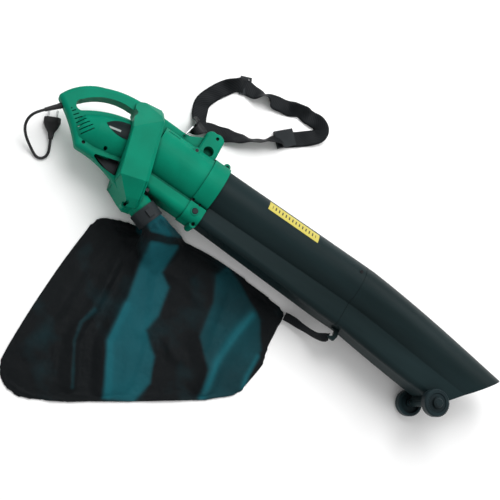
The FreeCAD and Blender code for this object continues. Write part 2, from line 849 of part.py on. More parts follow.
cap_profile = [
    ("axle_radius", "wheel_track / 2 + wheel_width / 2 - 1.6"),
    ("axle_radius + 8", "wheel_track / 2 + wheel_width / 2 - 1.6"),
    ("axle_radius + 8", "half_width - 4"),
    ("axle_radius + 4", "half_width"),
    ("0", "half_width"),
    ("0", "wheel_track / 2 + 15"),
    ("axle_radius", "wheel_track / 2 + 15"),
]
caps = [
    turned("right_axle_cap", cap_profile, at(size("wheel_x"), size("wheel_y"), 0)),
    turned("left_axle_cap", cap_profile,
           at(size("wheel_x"), size("wheel_y"), 0, Rotation(Vector(1, 0, 0), 180))),
]
group("axle_caps", caps)

# ---------------------------------------------------------------- motor and fan

turned("motor_shaft", [
    ("0", "-116"), ("shaft_radius", "-116"), ("shaft_radius", "-105"),
    ("shaft_radius + 2", "-105"), ("shaft_radius + 2", "-42"), ("shaft_radius + 1", "-42"),
    ("shaft_radius + 1", "-34"), ("shaft_radius", "-34"), ("shaft_radius", "18"), ("0", "18"),
], on_shaft(0))
rotor_stack = rod("rotor_stack", "core_radius", "core_length", on_shaft(-84))
core_slots = []
for number in range(12):
    angle = 30 * number
    slot = block("rotor_slot_%d" % number, "6", "3", "core_length",
                 on_shaft(-84).multiply(Placement(Vector(0, 0, 0), Rotation(UP, angle)))
                 .multiply(Placement(Vector(size("core_radius") - 4, -1.5, 0), Rotation())))
    core_slots.append(slot)
shaft_core = rod("rotor_bore", "shaft_radius + 2", "core_length", on_shaft(-84))
without("rotor_core", rotor_stack, joined("rotor_slots", core_slots + [shaft_core]))
turned("rotor_windings", [
    ("shaft_radius + 2", "-90"), ("core_radius - 4", "-90"), ("core_radius - 2", "-88"),
    ("core_radius - 2", "-84"), ("shaft_radius + 2", "-84"),
], on_shaft(0))
turned("front_windings", [
    ("shaft_radius + 2", "-60"), ("core_radius - 2", "-60"), ("core_radius - 2", "-56"),
    ("core_radius - 4", "-54"), ("shaft_radius + 2", "-54"),
], on_shaft(0))
turned("commutator", [
    ("shaft_radius + 2", "-102"), ("commutator_radius", "-102"), ("commutator_radius", "-91"),
    ("shaft_radius + 2", "-91"),
], on_shaft(0))

fan_hub = rod("cooler_hub", "shaft_radius + 6", "6.5", on_shaft(-51.5))
fan_plate = rod("cooler_plate", "cooler_radius", "1.5", on_shaft(-46.5))
cooler_parts = [fan_hub, fan_plate]
for number in range(12):
    blade = block("cooler_blade_%d" % number, "cooler_radius - shaft_radius - 5", "1.2", "5",
                  on_shaft(-51.5).multiply(Placement(Vector(0, 0, 0), Rotation(UP, 30 * number)))
                  .multiply(Placement(Vector(size("shaft_radius") + 5, -0.6, 0), Rotation())))
    cooler_parts.append(blade)
without("cooling_fan", joined("cooler_solid", cooler_parts),
        rod("cooler_bore", "shaft_radius + 2", "10", on_shaft(-53)))

hub = rod("impeller_hub", "hub_radius", "impeller_height + 2", on_shaft(-20))
plate = rod("impeller_plate", "impeller_radius", "2.5", on_shaft(-20))
blades = [hub, plate]
for number in range(int(size("blade_count"))):
    angle = 360 * number / size("blade_count")
    blades.append(block(
        "impeller_blade_%d" % number, "impeller_radius - hub_radius + 2", "2.5",
        "impeller_height",
        on_shaft(-18).multiply(Placement(Vector(0, 0, 0), Rotation(UP, angle)))
        .multiply(Placement(Vector(size("hub_radius") - 3, -1.25, 0), Rotation(UP, 8))),
    ))
impeller_form = doc.addObject("Part::MultiCommon", "impeller_trimmed")
impeller_form.Shapes = [
    joined("impeller_solid", blades),
    rod("impeller_limit", "impeller_radius", "impeller_height + 2", on_shaft(-20)),
]
without("impeller", impeller_form, rod("impeller_bore", "shaft_radius", "40", on_shaft(-25)))
nut = doc.addObject("Part::Prism", "nut_blank")
nut.Polygon = 6
nut.setExpression("Circumradius", formula("hub_radius * 0.7"))
nut.Height = 6
nut.Placement = on_shaft(6)
without("impeller_nut", nut, rod("nut_bore", "shaft_radius", "10", on_shaft(4)))


def ball_bearing(label, bore, outer, low):
    """A bearing that holds the shaft, drawn as one closed ring."""
    return turned(label, [
        (bore, "%g" % low), (outer, "%g" % low), (outer, "%g + bearing_width" % low),
        (bore, "%g + bearing_width" % low),
    ], on_shaft(0))


ball_bearing("rear_bearing", "shaft_radius + 0.05", "bearing_outer", -113)
ball_bearing("front_bearing", "shaft_radius + 1.05", "bearing_outer + 2", -41.7)
turned("motor_end_bell", [
    ("bearing_outer", "-116"), ("stator_radius - 12", "-116"), ("stator_radius - 7", "-108"),
    ("stator_radius - 4", "-88"), ("stator_radius - 4", "-86"), ("stator_radius - 6.5", "-86"),
    ("stator_radius - 9.5", "-106"), ("stator_radius - 14", "-112.5"),
    ("bearing_outer + 2.5", "-112.5"), ("bearing_outer + 2.5", "-106"),
    ("bearing_outer", "-106"),
], on_shaft(0))
turned("motor_bracket", [
    ("bearing_outer + 2", "-43"), ("motor_bulge - shell_wall - 0.6", "-43"), ("motor_bulge - shell_wall - 0.6", "-39"),
    ("bearing_outer + 5", "-39"), ("bearing_outer + 5", "-34"), ("bearing_outer + 2", "-34"),
], on_shaft(0))

stack = rod("stator_stack", "stator_radius", "core_length + 4", on_shaft(-86))
flats = [
    block("stator_flat_top", "80", "20", "core_length + 4",
          on_shaft(-86).multiply(Placement(Vector(-40, size("stator_flat"), 0), Rotation()))),
    block("stator_flat_low", "80", "20", "core_length + 4",
          on_shaft(-86).multiply(Placement(Vector(-40, -size("stator_flat") - 20, 0), Rotation()))),
    rod("stator_bore", "core_radius + air_gap", "core_length + 4", on_shaft(-86)),
]
without("stator_core", stack, joined("stator_cuts", flats))
coils = []
for number, low in enumerate((-87.9, -57.9)):
    ring = doc.addObject("Part::Feature", "coil_ring_%d" % number)
    tube = Part.makeCylinder(size("stator_flat") - 0.5, 5, Vector(0, 0, 0), UP).cut(
        Part.makeCylinder(size("core_radius") + 2, 5, Vector(0, 0, 0), UP))
    start = low - 3.1 if number == 0 else low
    halves = tube.cut(Part.makeBox(80, 8, 10, Vector(-40, -4, -1)))
    ring.Shape = halves
    ring.Placement = on_shaft(start)
    coils.append(ring)
group("field_coils", coils)

brushes = []
holders = []
for number, turn in enumerate((0, 180)):
    seat = on_shaft(-99.5).multiply(Placement(Vector(0, 0, 0), Rotation(UP, turn)))
    start = size("commutator_radius") + 0.3
    brushes.append(block("brush_%d" % number, "9.5", "8", "6",
                         seat.multiply(Placement(Vector(start, -4, 0), Rotation()))))
    shell_outer = block("holder_outer_%d" % number, "11.5", "11", "9",
                        seat.multiply(Placement(Vector(14, -5.5, -1.5), Rotation())))
    shell_inner = block("holder_inner_%d" % number, "11.5", "8.2", "6.2",
                        seat.multiply(Placement(Vector(12, -4.1, -0.1), Rotation())))
    holders.append(without("holder_%d" % number, shell_outer, shell_inner))
group("carbon_brushes", brushes)
group("brush_holders", holders)

# ---------------------------------------------------------------- plate, switch, button, selector

badge_plan = path((-84, 47), (-62, 60, -31, 61), (-31, 23), (-62, 29, -84, 47))
badge = slice_of(badge_plan, H).common(motor_casing(-0.8).cut(motor_casing(0)))
shaped("badge_plate", tilted(badge).cut(SKIN))

lever = slice_of(grip_plan().makeOffset2D(1.2), size("lever_width") / 2, 1.5)
lever = lever.common(
    Part.makeBox(size("lever_length"), 30, H, Vector(LEVER_REAR, 121.5, H))
)
lever = lever.fuse(lever.mirror(Vector(0, 0, H), UP))
shaped("switch_lever", tilted(lever))
block("switch_body", "22", "4.6", "12", fan_at(-102, 112.6, -6))
rod("capacitor", "6", "24", fan_at(-127, 11, -12))

turned("lock_button", [
    ("0", "0"), ("button_radius", "0"), ("button_radius", "4.6"), ("button_radius - 1", "5.6"),
    ("0", "5.6"),
], at(BUTTON[0], BUTTON[1], 36.4))

rod("selector_shaft", "pivot_radius", "91.5", at(PIVOT[0], PIVOT[1], -52))
flap_place = at(PIVOT[0], PIVOT[1], -size("flap_half"), Rotation(UP, FLAP_REST))
flap_blade = block("flap_blade", "flap_length", "flap_thick", "2 * flap_half",
                   flap_place.multiply(at(0, -size("flap_thick") / 2, -H)))
flap_hub = rod("flap_hub", "pivot_radius + 1", "2 * flap_half", flap_place)
flap_bore = rod("flap_bore", "pivot_radius", "2 * flap_half", flap_place)
without("diverter_flap", joined("flap_solid", [flap_blade, flap_hub]), flap_bore)
arm_place = at(PIVOT[0], PIVOT[1], -48.4, Rotation(UP, -60))
lever_hub = rod("selector_hub", "pivot_radius + 3.4", "6", arm_place)
lever_arm = block("selector_arm", "34", "8", "6", arm_place.multiply(at(0, -4, -H)))
lever_knob = rod("selector_knob", "6", "10", arm_place.multiply(at(32, 0, -4 - H)))
lever_bore = rod("selector_bore", "pivot_radius", "6", arm_place)
without("selector_lever", joined("selector_solid", [lever_hub, lever_arm, lever_knob]),
        lever_bore)

# ---------------------------------------------------------------- strain relief, cord and plug

relief_place = Placement(RELIEF_ROOT, Rotation(UP, RELIEF_WAY))
turned("strain_relief", [
    ("0", "-9"), ("8", "-9"), ("8", "-6.4"), ("5.2", "-6.4"), ("5.2", "3"), ("6.6", "3"),
    ("6.6", "6"), ("5.8", "12"), ("4.4", "40"), ("0", "40"),
], relief_place)
block("cord_clamp", "16", "10", "8", fan_at(-173.5, 83.5, -4))

RELIEF_END = RELIEF_ROOT + RELIEF_WAY.normalize() * 40
CORD = [
    (RELIEF_END.x, RELIEF_END.y, RELIEF_END.z),
    (-228.3, -34.7, 85), (-236.5, -48, 75.5), (-238, -61, 59), (-232.5, -71.5, 42),
    (-221.5, -80, 26), (-205, -88.5, 13), (-187.1, -97.4, 5), (-177.1, -99.2, 4.2),
    (-168.1, -94.4, 4.4), (-163.5, -85.4, 5.6), (-164.6, -74.4, 9), (-170.2, -62.4, 12),
    (-177.45, -48.4, 12),
]


def arc_radii(points):
    """The radius of the bend at each point between two straight runs."""
    radii = []
    for before, corner, after in zip(points, points[1:], points[2:]):
        arriving = Vector(*corner) - Vector(*before)
        leaving = Vector(*after) - Vector(*corner)
        turn = arriving.getAngle(leaving)
        radii.append(0.45 * min(arriving.Length, leaving.Length) / math.tan(turn / 2))
    return radii


def round_run(points):
    """A path of straight runs joined by tangent arcs."""
    edges = []
    here = Vector(*points[0])
    for before, corner, after, radius in zip(points, points[1:], points[2:], arc_radii(points)):
        corner = Vector(*corner)
        back = (Vector(*before) - corner).normalize()
        ahead = (Vector(*after) - corner).normalize()
        half = back.getAngle(ahead) / 2
        reach = radius / math.tan(half)
        middle = (back + ahead).normalize() * (radius / math.sin(half) - radius)
        start = corner + back * reach
        stop = corner + ahead * reach
        edges.append(Part.LineSegment(here, start).toShape())
        edges.append(Part.Arc(start, corner + middle, stop).toShape())
        here = stop
    edges.append(Part.LineSegment(here, Vector(*points[-1])).toShape())
    return Part.Wire(edges)


def tube_along(wire, radius):
    """A round solid swept along a path."""
    first = wire.Edges[0]
    ring = Part.Wire([
        Part.Circle(first.valueAt(first.FirstParameter), first.tangentAt(first.FirstParameter),
                    radius).toShape()
    ])
    return wire.makePipeShell([ring], True, False)


cord_path = round_run(CORD)
cord = tube_along(cord_path, size("cord_radius"))
section = math.pi * size("cord_radius") ** 2
print("cord radii", [round(radius, 1) for radius in arc_radii(CORD)])
print("cord length", round(cord_path.Length, 1), "volume ratio",
      round(cord.Volume / section / cord_path.Length, 4))
shaped("cord", cord)

tail = Vector(*CORD[-1])
plug_way = Vector(-0.46, 0.888, 0).normalize()
plug_side = UP.cross(plug_way)


def plug_ring(along, wide, high):
    """An eight-cornered section of the plug."""
    cut = 0.28 * min(wide, high)
    spots = []
    for across, up in (
        (wide / 2, high / 2 - cut), (wide / 2 - cut, high / 2), (cut - wide / 2, high / 2),
        (-wide / 2, high / 2 - cut), (-wide / 2, cut - high / 2), (cut - wide / 2, -high / 2),
        (wide / 2 - cut, -high / 2), (wide / 2, cut - high / 2),
    ):
        spots.append(tail + plug_way * along + plug_side * across + UP * up)
    return Part.makePolygon(spots + [spots[0]])


wide = size("plug_width")
thick = size("plug_thick")
long = size("plug_length")
shaped("plug_body", Part.makeLoft([
    plug_ring(0, 10, 10), plug_ring(long * 0.3, 14, 12), plug_ring(long * 0.55, wide - 8, thick - 4),
    plug_ring(long * 0.75, wide, thick), plug_ring(long, wide, thick),
], True, True))
pins = []
for number, side in enumerate((-9.5, 9.5)):
    root = tail + plug_way * long + plug_side * side
    pins.append(rod("plug_pin_%d" % number, "2.4", "19", Placement(root, Rotation(UP, plug_way))))
group("plug_pins", pins)

# ---------------------------------------------------------------- bag with its cuff and latch

CUFF_START = 7
CUFF_END = CUFF_START + size("cuff_length")
gap = size("fit_gap")
cuff_grow = gap + size("cuff_wall")
cuff = spigot_prism(
    size("spigot_high") + 2 * cuff_grow, size("spigot_wide") + 2 * cuff_grow,
    size("spigot_edge") + cuff_grow, CUFF_START, CUFF_END,
).cut(spigot_prism(
    size("spigot_high") + 2 * gap, size("spigot_wide") + 2 * gap, size("spigot_edge") + gap,
    CUFF_START - 1, CUFF_END + 1,
))
shaped("bag_collar", cuff)
outlet_turn = Rotation(UP, -size("spigot_angle"))
outlet_place = Placement(SPIGOT_ROOT + Vector(0, 0, H), outlet_turn)
latch_base = size("spigot_wide") / 2 + cuff_grow + size("move_gap")
block("bag_latch", "18", "14", "3.2",
      outlet_place.multiply(Placement(Vector(CUFF_START + 8, -7, latch_base), Rotation())))


def outlet_ring(along, half_side, low, high):
    """A rectangle across the bag outlet's axis, its height counted from the ground."""
    spots = [
        outlet_place.multVec(Vector(along, side, height - H))
        for side, height in (
            (-half_side, low), (half_side, low), (half_side, high), (-half_side, high)
        )
    ]
    return Part.makePolygon(spots + [spots[0]])


bag_plan = path(
    (66, -126), (28, -131), (4, -156), (1, -300), (-2, -480), (6, -545), (50, -562),
    (100, -554), (300, -438), (506, -304), (508, -220), (490, -152), (500, -84), (430, -66),
    (236, -66), (150, -74), (118, -112),
)
bag_body = Part.Face(softened(bag_plan, 12)).extrude(Vector(0, 0, size("bag_thick")))
bag_body = bag_body.makeFillet(
    9, [rim for rim in bag_body.Edges if rim.BoundBox.ZMin > size("bag_thick") - 0.01]
)
neck = Part.makeLoft([
    outlet_ring(CUFF_END + 0.3, 26, H - 38, H + 38), outlet_ring(CUFF_END + 62, 48, 2, 38),
], True, True)
shaped("bag", bag_body.fuse(neck))


def strip(corners_one, corners_two):
    """A straight run of webbing between two end faces."""
    first = [Vector(*corner) for corner in corners_one]
    second = [Vector(*corner) for corner in corners_two]
    return Part.makeLoft(
        [Part.makePolygon(first + first[:1]), Part.makePolygon(second + second[:1])], True, True
    )


shaped("bag_loop", strip(
    [(502, -94, 20), (502, -74, 20), (502, -74, 22.5), (502, -94, 22.5)],
    [(584, -99, H - 1), (584, -79, H - 1), (584, -79, H + 1.5), (584, -99, H + 1.5)],
))

# ---------------------------------------------------------------- strap and its ring

ring_way = Vector(0.2, 0.98, 0).normalize()
ring_root = Vector(RING_ROOT[0], RING_ROOT[1], H)
ring_top = ring_root + ring_way * size("ring_reach")
half = size("ring_half")
wire = size("wire_radius")
upright = Rotation()
ring_parts = [
    rod("ring_root_rod", "wire_radius", "2 * ring_half",
        Placement(ring_root - UP * half, upright)),
    rod("ring_top_rod", "wire_radius", "2 * ring_half",
        Placement(ring_top - UP * half, upright)),
]
for number, side in enumerate((-half, half)):
    ring_parts.append(rod("ring_side_%d" % number, "wire_radius", "ring_reach",
                          Placement(ring_root + UP * side, Rotation(UP, ring_way))))
    for end, spot in enumerate((ring_root, ring_top)):
        ball = doc.addObject("Part::Sphere", "ring_corner_%d_%d" % (number, end))
        ball.setExpression("Radius", formula("wire_radius"))
        ball.Placement = Placement(spot + UP * side, upright)
        ring_parts.append(ball)
joined("strap_ring", ring_parts)

strap_line = path(
    (80, 186), (62, 242), (88, 306), (140, 334), (250, 360), (325, 374), (349, 352),
    (300, 300), (240, 250), (170, 213),
)
strap_line = softened(strap_line, 14)
half_strap = size("strap_width") / 2
band = Part.Face(strap_line.makeOffset2D(half_strap)).extrude(Vector(0, 0, size("strap_thick")))
hollow = Part.Face(strap_line.makeOffset2D(-half_strap)).extrude(
    Vector(0, 0, size("strap_thick"))
)
riser = strip(
    [(68, 136.5, H - 19), (71, 136.5, H - 19), (71, 136.5, H + 19), (68, 136.5, H + 19)],
    [(104, 178, 0), (104, 178, 3), (66, 178, 3), (66, 178, 0)],
)
shaped("shoulder_strap", band.cut(hollow).fuse(riser))

adjuster_place = Placement(Vector(122, 312, size("strap_thick")), Rotation(UP, 25))
adjuster = block("adjuster_plate", "28", "46", "3.5", adjuster_place)
adjuster_slots = [
    block("adjuster_slot_%d" % number, "5", "39", "3.5",
          adjuster_place.multiply(Placement(Vector(4 + 15 * number, 3.5, 0), upright)))
    for number in range(2)
]
without("strap_adjuster", adjuster, joined("adjuster_slots", adjuster_slots))
buckle_place = Placement(Vector(272, 253, size("strap_thick")), Rotation(UP, 46))
block("strap_buckle", "48", "42", "9", buckle_place)

# ---------------------------------------------------------------- check and write

doc.recompute()

NODES = [
    "right_housing", "left_housing", "housing_screws", "collar_screws", "badge_plate",
    "motor_shaft", "rotor_core", "rotor_windings", "front_windings", "commutator",
    "cooling_fan", "impeller", "impeller_nut", "rear_bearing", "front_bearing",
    "motor_end_bell", "motor_bracket", "stator_core", "field_coils", "carbon_brushes",
    "brush_holders", "switch_lever", "switch_body", "capacitor", "lock_button",
    "selector_shaft", "diverter_flap", "selector_lever", "upper_tube", "lower_tube",
    "joint_screw", "belly_hook", "warning_label", "wheel_axle", "right_wheel", "left_wheel",
    "axle_caps", "strain_relief", "cord_clamp", "cord", "plug_body", "plug_pins",
    "bag_collar", "bag_latch", "bag", "bag_loop", "strap_ring", "shoulder_strap",
    "strap_adjuster", "strap_buckle",
]

for item in doc.Objects:
    if "Invalid" in item.State or "Error" in item.State:
        raise SystemExit("failed: " + item.Label + " " + str(item.State))
for label in NODES:
    shape = doc.getObjectsByLabel(label)[0].Shape
    if shape.isNull() or not shape.isValid() or not shape.Solids:
        raise SystemExit("bad shape: " + label)

os.makedirs("parts", exist_ok=True)
for label in NODES:
    doc.getObjectsByLabel(label)[0].Shape.exportStep("parts/" + label + ".step")
print(len(NODES), "nodes written")
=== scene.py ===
import math
import bmesh
import bpy
from mathutils import Matrix, Vector


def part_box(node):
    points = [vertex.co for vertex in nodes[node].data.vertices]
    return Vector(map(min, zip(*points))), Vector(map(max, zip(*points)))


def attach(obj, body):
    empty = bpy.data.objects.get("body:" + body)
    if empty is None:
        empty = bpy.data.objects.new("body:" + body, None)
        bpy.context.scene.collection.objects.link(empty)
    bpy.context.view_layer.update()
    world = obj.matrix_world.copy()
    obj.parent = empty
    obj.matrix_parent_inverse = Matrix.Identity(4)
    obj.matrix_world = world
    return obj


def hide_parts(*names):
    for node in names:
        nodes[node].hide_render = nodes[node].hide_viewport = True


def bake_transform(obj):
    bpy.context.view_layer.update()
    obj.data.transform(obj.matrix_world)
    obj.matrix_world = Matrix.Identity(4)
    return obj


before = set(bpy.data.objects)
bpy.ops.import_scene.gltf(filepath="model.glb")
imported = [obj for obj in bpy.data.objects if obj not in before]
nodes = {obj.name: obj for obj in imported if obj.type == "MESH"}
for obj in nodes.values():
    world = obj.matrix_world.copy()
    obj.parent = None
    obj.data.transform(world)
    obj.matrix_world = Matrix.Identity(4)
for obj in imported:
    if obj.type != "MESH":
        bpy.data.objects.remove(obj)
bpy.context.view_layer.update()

# ---------------------------------------------------------------- housing shells
# Two moulded shells of green plastic hold motor, fan and grips, screwed together along
# the middle plane. The skin has a fine eroded grain with a slight gloss on it.
HOUSING_GREEN = (0.001, 0.205, 0.122)
HOUSING_SHADE = (0.001, 0.165, 0.098)
CLOUD_SCALE = 14
GRAIN_DEPTH = 0.0004
# how much of the sky a spot sees where the painted crease shade is darkest and where it has
# none, and the darkest painted tone
CREASE_SKY = 0.3
UNSHADED_SKY = 0.85
PAINTED_SHADE_TONE = 0.25


def new_material(name):
    """An empty material with its shader, and the node tree to build it in."""
    material = bpy.data.materials.new(name)
    material.use_nodes = True
    tree = material.node_tree
    shader = tree.nodes["Principled BSDF"]
    return material, tree, shader


def object_noise(tree, scale, detail=4.0, stretch=(1, 1, 1)):
    """Noise that sits in the piece itself, stretched along chosen axes."""
    place = tree.nodes.new("ShaderNodeTexCoord")
    mapping = tree.nodes.new("ShaderNodeMapping")
    mapping.inputs["Scale"].default_value = stretch
    noise = tree.nodes.new("ShaderNodeTexNoise")
    noise.inputs["Scale"].default_value = scale
    noise.inputs["Detail"].default_value = detail
    tree.links.new(place.outputs["Object"], mapping.inputs["Vector"])
    tree.links.new(mapping.outputs["Vector"], noise.inputs["Vector"])
    return noise


def colours_by(tree, source, low, high, start=0.35, stop=0.65):
    """A run of colour between two tones, led by a grey value."""
    ramp = tree.nodes.new("ShaderNodeValToRGB")
    ramp.color_ramp.elements[0].position = start
    ramp.color_ramp.elements[0].color = (*low, 1)
    ramp.color_ramp.elements[1].position = stop
    ramp.color_ramp.elements[1].color = (*high, 1)
    tree.links.new(source, ramp.inputs["Fac"])
    return ramp


def roughness_by(tree, shader, source, low, high):
    """Gloss that varies a little from place to place."""
    spread = tree.nodes.new("ShaderNodeMapRange")
    spread.inputs["To Min"].default_value = low
    spread.inputs["To Max"].default_value = high
    tree.links.new(source, spread.inputs["Value"])
    tree.links.new(spread.outputs["Result"], shader.inputs["Roughness"])


def bumped_by(tree, shader, source, strength, depth):
    """Relief on the surface, its depth in metres."""
    bump = tree.nodes.new("ShaderNodeBump")
    bump.inputs["Strength"].default_value = strength
    bump.inputs["Distance"].default_value = depth
    tree.links.new(source, bump.inputs["Height"])
    tree.links.new(bump.outputs["Normal"], shader.inputs["Normal"])


def painted_crease_shade(tree, colour, shader, reach):
    """The base colour, darkened by painted shade where surfaces meet in a valley."""
    shelter = tree.nodes.new("ShaderNodeAmbientOcclusion")
    shelter.samples = 8
    shelter.inputs["Distance"].default_value = reach
    painted_shade = tree.nodes.new("ShaderNodeMapRange")
    painted_shade.inputs["From Min"].default_value = CREASE_SKY
    painted_shade.inputs["From Max"].default_value = UNSHADED_SKY
    painted_shade.inputs["To Min"].default_value = PAINTED_SHADE_TONE
    dulled = tree.nodes.new("ShaderNodeVectorMath")
    dulled.operation = "SCALE"
    tree.links.new(shelter.outputs["AO"], painted_shade.inputs["Value"])
    tree.links.new(colour, dulled.inputs[0])
    tree.links.new(painted_shade.outputs["Result"], dulled.inputs["Scale"])
    tree.links.new(dulled.outputs["Vector"], shader.inputs["Base Color"])


def moulded_plastic(name, base, shade, rough=0.42, grain=1400, stretch=(1, 1, 1), shine=0.2,
                    crease=0.015):
    """Moulded plastic: cloudy tone, fine grain, gloss that varies, painted shade in its creases.
    """
    material, tree, shader = new_material(name)
    cloud = object_noise(tree, CLOUD_SCALE, 5, stretch)
    tone = colours_by(tree, cloud.outputs["Fac"], shade, base)
    # painted shade: the tone is darkened in creases and valleys
    painted_crease_shade(tree, tone.outputs["Color"], shader, crease)
    roughness_by(tree, shader, cloud.outputs["Fac"], rough - 0.06, rough + 0.08)
    fine = object_noise(tree, grain, 2)
    bumped_by(tree, shader, fine.outputs["Fac"], 0.25, GRAIN_DEPTH)
    shader.inputs["Specular IOR Level"].default_value = shine
    return material


def dress(material, *names):
    """Give CAD nodes a finish in place of their plain one."""
    for name in names:
        mesh = nodes[name].data
        mesh.materials.clear()
        mesh.materials.append(material)


housing_plastic = moulded_plastic(
    "housing_plastic", HOUSING_GREEN, HOUSING_SHADE, rough=0.46, shine=0.05
)
dress(housing_plastic, "right_housing", "left_housing")

# ---------------------------------------------------------------- small black mouldings
# Thumb lever, button, selector, cord clamp, cuff, slide, buckle and impeller are moulded
# of black nylon, a little duller than the shells and lightly scuffed.
BLACK_NYLON = (0.012, 0.015, 0.017)
BLACK_NYLON_WORN = (0.021, 0.025, 0.028)
black_nylon = moulded_plastic(
    "black_nylon", BLACK_NYLON, BLACK_NYLON_WORN, rough=0.48, grain=900, shine=0.1
)
dress(
    black_nylon, "switch_lever", "switch_body", "lock_button", "selector_lever", "diverter_flap",
    "capacitor", "cord_clamp", "bag_collar", "bag_latch", "strap_adjuster", "strap_buckle",
    "impeller",
)

# ---------------------------------------------------------------- pocket shade tray (painted shade)
# A shallow black tray, painted shade, lies in the pocket under the motor and darkens its
# floor and walls where the shade falls.
SHADE_TRAY_FLOOR = 0.0870
SHADE_TRAY_WALL = 0.0008
# the rim's outline in the casing's own directions, with its height at each spot
SHADE_TRAY_RIM = [
    (-0.084, -0.0223, 0.102), (-0.060, -0.0223, 0.102), (-0.035, -0.0222, 0.102),
    (-0.0323, -0.0250, 0.102), (-0.0328, -0.0400, 0.100), (-0.0330, -0.0515, 0.095),
    (-0.0355, -0.0533, 0.094), (-0.0470, -0.0495, 0.094), (-0.0600, -0.0436, 0.094),
    (-0.0720, -0.0360, 0.096), (-0.0830, -0.0275, 0.098), (-0.0860, -0.0245, 0.100),
]
CASING_TURN = math.radians(15)
shade_tray_middle = sum((Vector(spot).xy for spot in SHADE_TRAY_RIM), Vector((0, 0))) / len(SHADE_TRAY_RIM)
shade_tray = bmesh.new()
shade_tray_rows = []
for inward, top in ((0, False), (0, True), (SHADE_TRAY_WALL, True), (SHADE_TRAY_WALL, False)):
    row = []
    for spot in SHADE_TRAY_RIM:
        flat = Vector(spot).xy
        flat += (shade_tray_middle - flat).normalized() * inward
        height = spot[2] if top else SHADE_TRAY_FLOOR + inward
        row.append(shade_tray.verts.new((flat.x, flat.y, height)))
    shade_tray_rows.append(row)
for one, other in zip(shade_tray_rows, shade_tray_rows[1:]):
    for index in range(len(one)):
        after = (index + 1) % len(one)
        shade_tray.faces.new((one[index], one[after], other[after], other[index]))
shade_tray.faces.new(shade_tray_rows[0])
shade_tray.faces.new(shade_tray_rows[-1])
bmesh.ops.recalc_face_normals(shade_tray, faces=shade_tray.faces)
shade_tray_mesh = bpy.data.meshes.new("pocket_shade_tray")
shade_tray.to_mesh(shade_tray_mesh)
shade_tray.free()
shade_tray_mesh.transform(Matrix.Rotation(CASING_TURN, 4, "Z"))
shade_tray_mesh.materials.append(black_nylon)
shade_tray_piece = bpy.data.objects.new("pocket_shade_tray", shade_tray_mesh)
bpy.context.scene.collection.objects.link(shade_tray_piece)
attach(shade_tray_piece, "machine")

# ---------------------------------------------------------------- badge
# A bent plate of black plastic is glued on the motor cover. A pale printed bar stands in
# for the maker's print.
BADGE_DARK = (0.006, 0.012, 0.013)
BADGE_PRINT = (0.30, 0.34, 0.33)
BADGE_SHIFT = (0.0668, -0.0318, 0)
BADGE_TURN = math.radians(-12)
BADGE_BAR_HALF = (0.0135, 0.0024)
badge_finish, badge_tree, badge_shader = new_material("badge_print")
badge_place = badge_tree.nodes.new("ShaderNodeTexCoord")
badge_map = badge_tree.nodes.new("ShaderNodeMapping")
badge_map.inputs["Location"].default_value = BADGE_SHIFT
badge_map.inputs["Rotation"].default_value = (0, 0, BADGE_TURN)
badge_split = badge_tree.nodes.new("ShaderNodeSeparateXYZ")
badge_tree.links.new(badge_place.outputs["Object"], badge_map.inputs["Vector"])
badge_tree.links.new(badge_map.outputs["Vector"], badge_split.inputs["Vector"])


def within(tree, source, limit):
    """One where a coordinate lies nearer to zero than a limit, else nought."""
    size = tree.nodes.new("ShaderNodeMath")
    size.operation = "ABSOLUTE"
    test = tree.nodes.new("ShaderNodeMath")
    test.operation = "LESS_THAN"
    test.inputs[1].default_value = limit
    tree.links.new(source, size.inputs[0])
    tree.links.new(size.outputs[0], test.inputs[0])
    return test.outputs[0]


def both(tree, one, other):
    """The product of two values."""
    product = tree.nodes.new("ShaderNodeMath")
    product.operation = "MULTIPLY"
    tree.links.new(one, product.inputs[0])
    tree.links.new(other, product.inputs[1])
    return product.outputs[0]


badge_bar = both(
    badge_tree,
    within(badge_tree, badge_split.outputs["X"], BADGE_BAR_HALF[0]),
    within(badge_tree, badge_split.outputs["Y"], BADGE_BAR_HALF[1]),
)
badge_tone = colours_by(badge_tree, badge_bar, BADGE_DARK, BADGE_PRINT, 0.4, 0.6)
badge_tree.links.new(badge_tone.outputs["Color"], badge_shader.inputs["Base Color"])
badge_grain = object_noise(badge_tree, 300)
roughness_by(badge_tree, badge_shader, badge_grain.outputs["Fac"], 0.40, 0.52)
badge_shader.inputs["Specular IOR Level"].default_value = 0.08
dress(badge_finish, "badge_plate")

# ---------------------------------------------------------------- tubes
# Suction tube and blow duct are one blow-moulded length each, in dark grey plastic with
# faint streaks along them. The lower length slides into the upper one.
TUBE_GREY = (0.010, 0.021, 0.023)
TUBE_SHADE = (0.006, 0.013, 0.014)
# how far the painted shade reaches into the valley between tube and duct, in metres
TUBE_VALLEY = 0.06
tube_plastic = moulded_plastic(
    "tube_plastic", TUBE_GREY, TUBE_SHADE, rough=0.40, grain=1100,
    stretch=(0.15, 1, 1), shine=0.07, crease=TUBE_VALLEY,
)
dress(tube_plastic, "upper_tube", "lower_tube", "belly_hook")

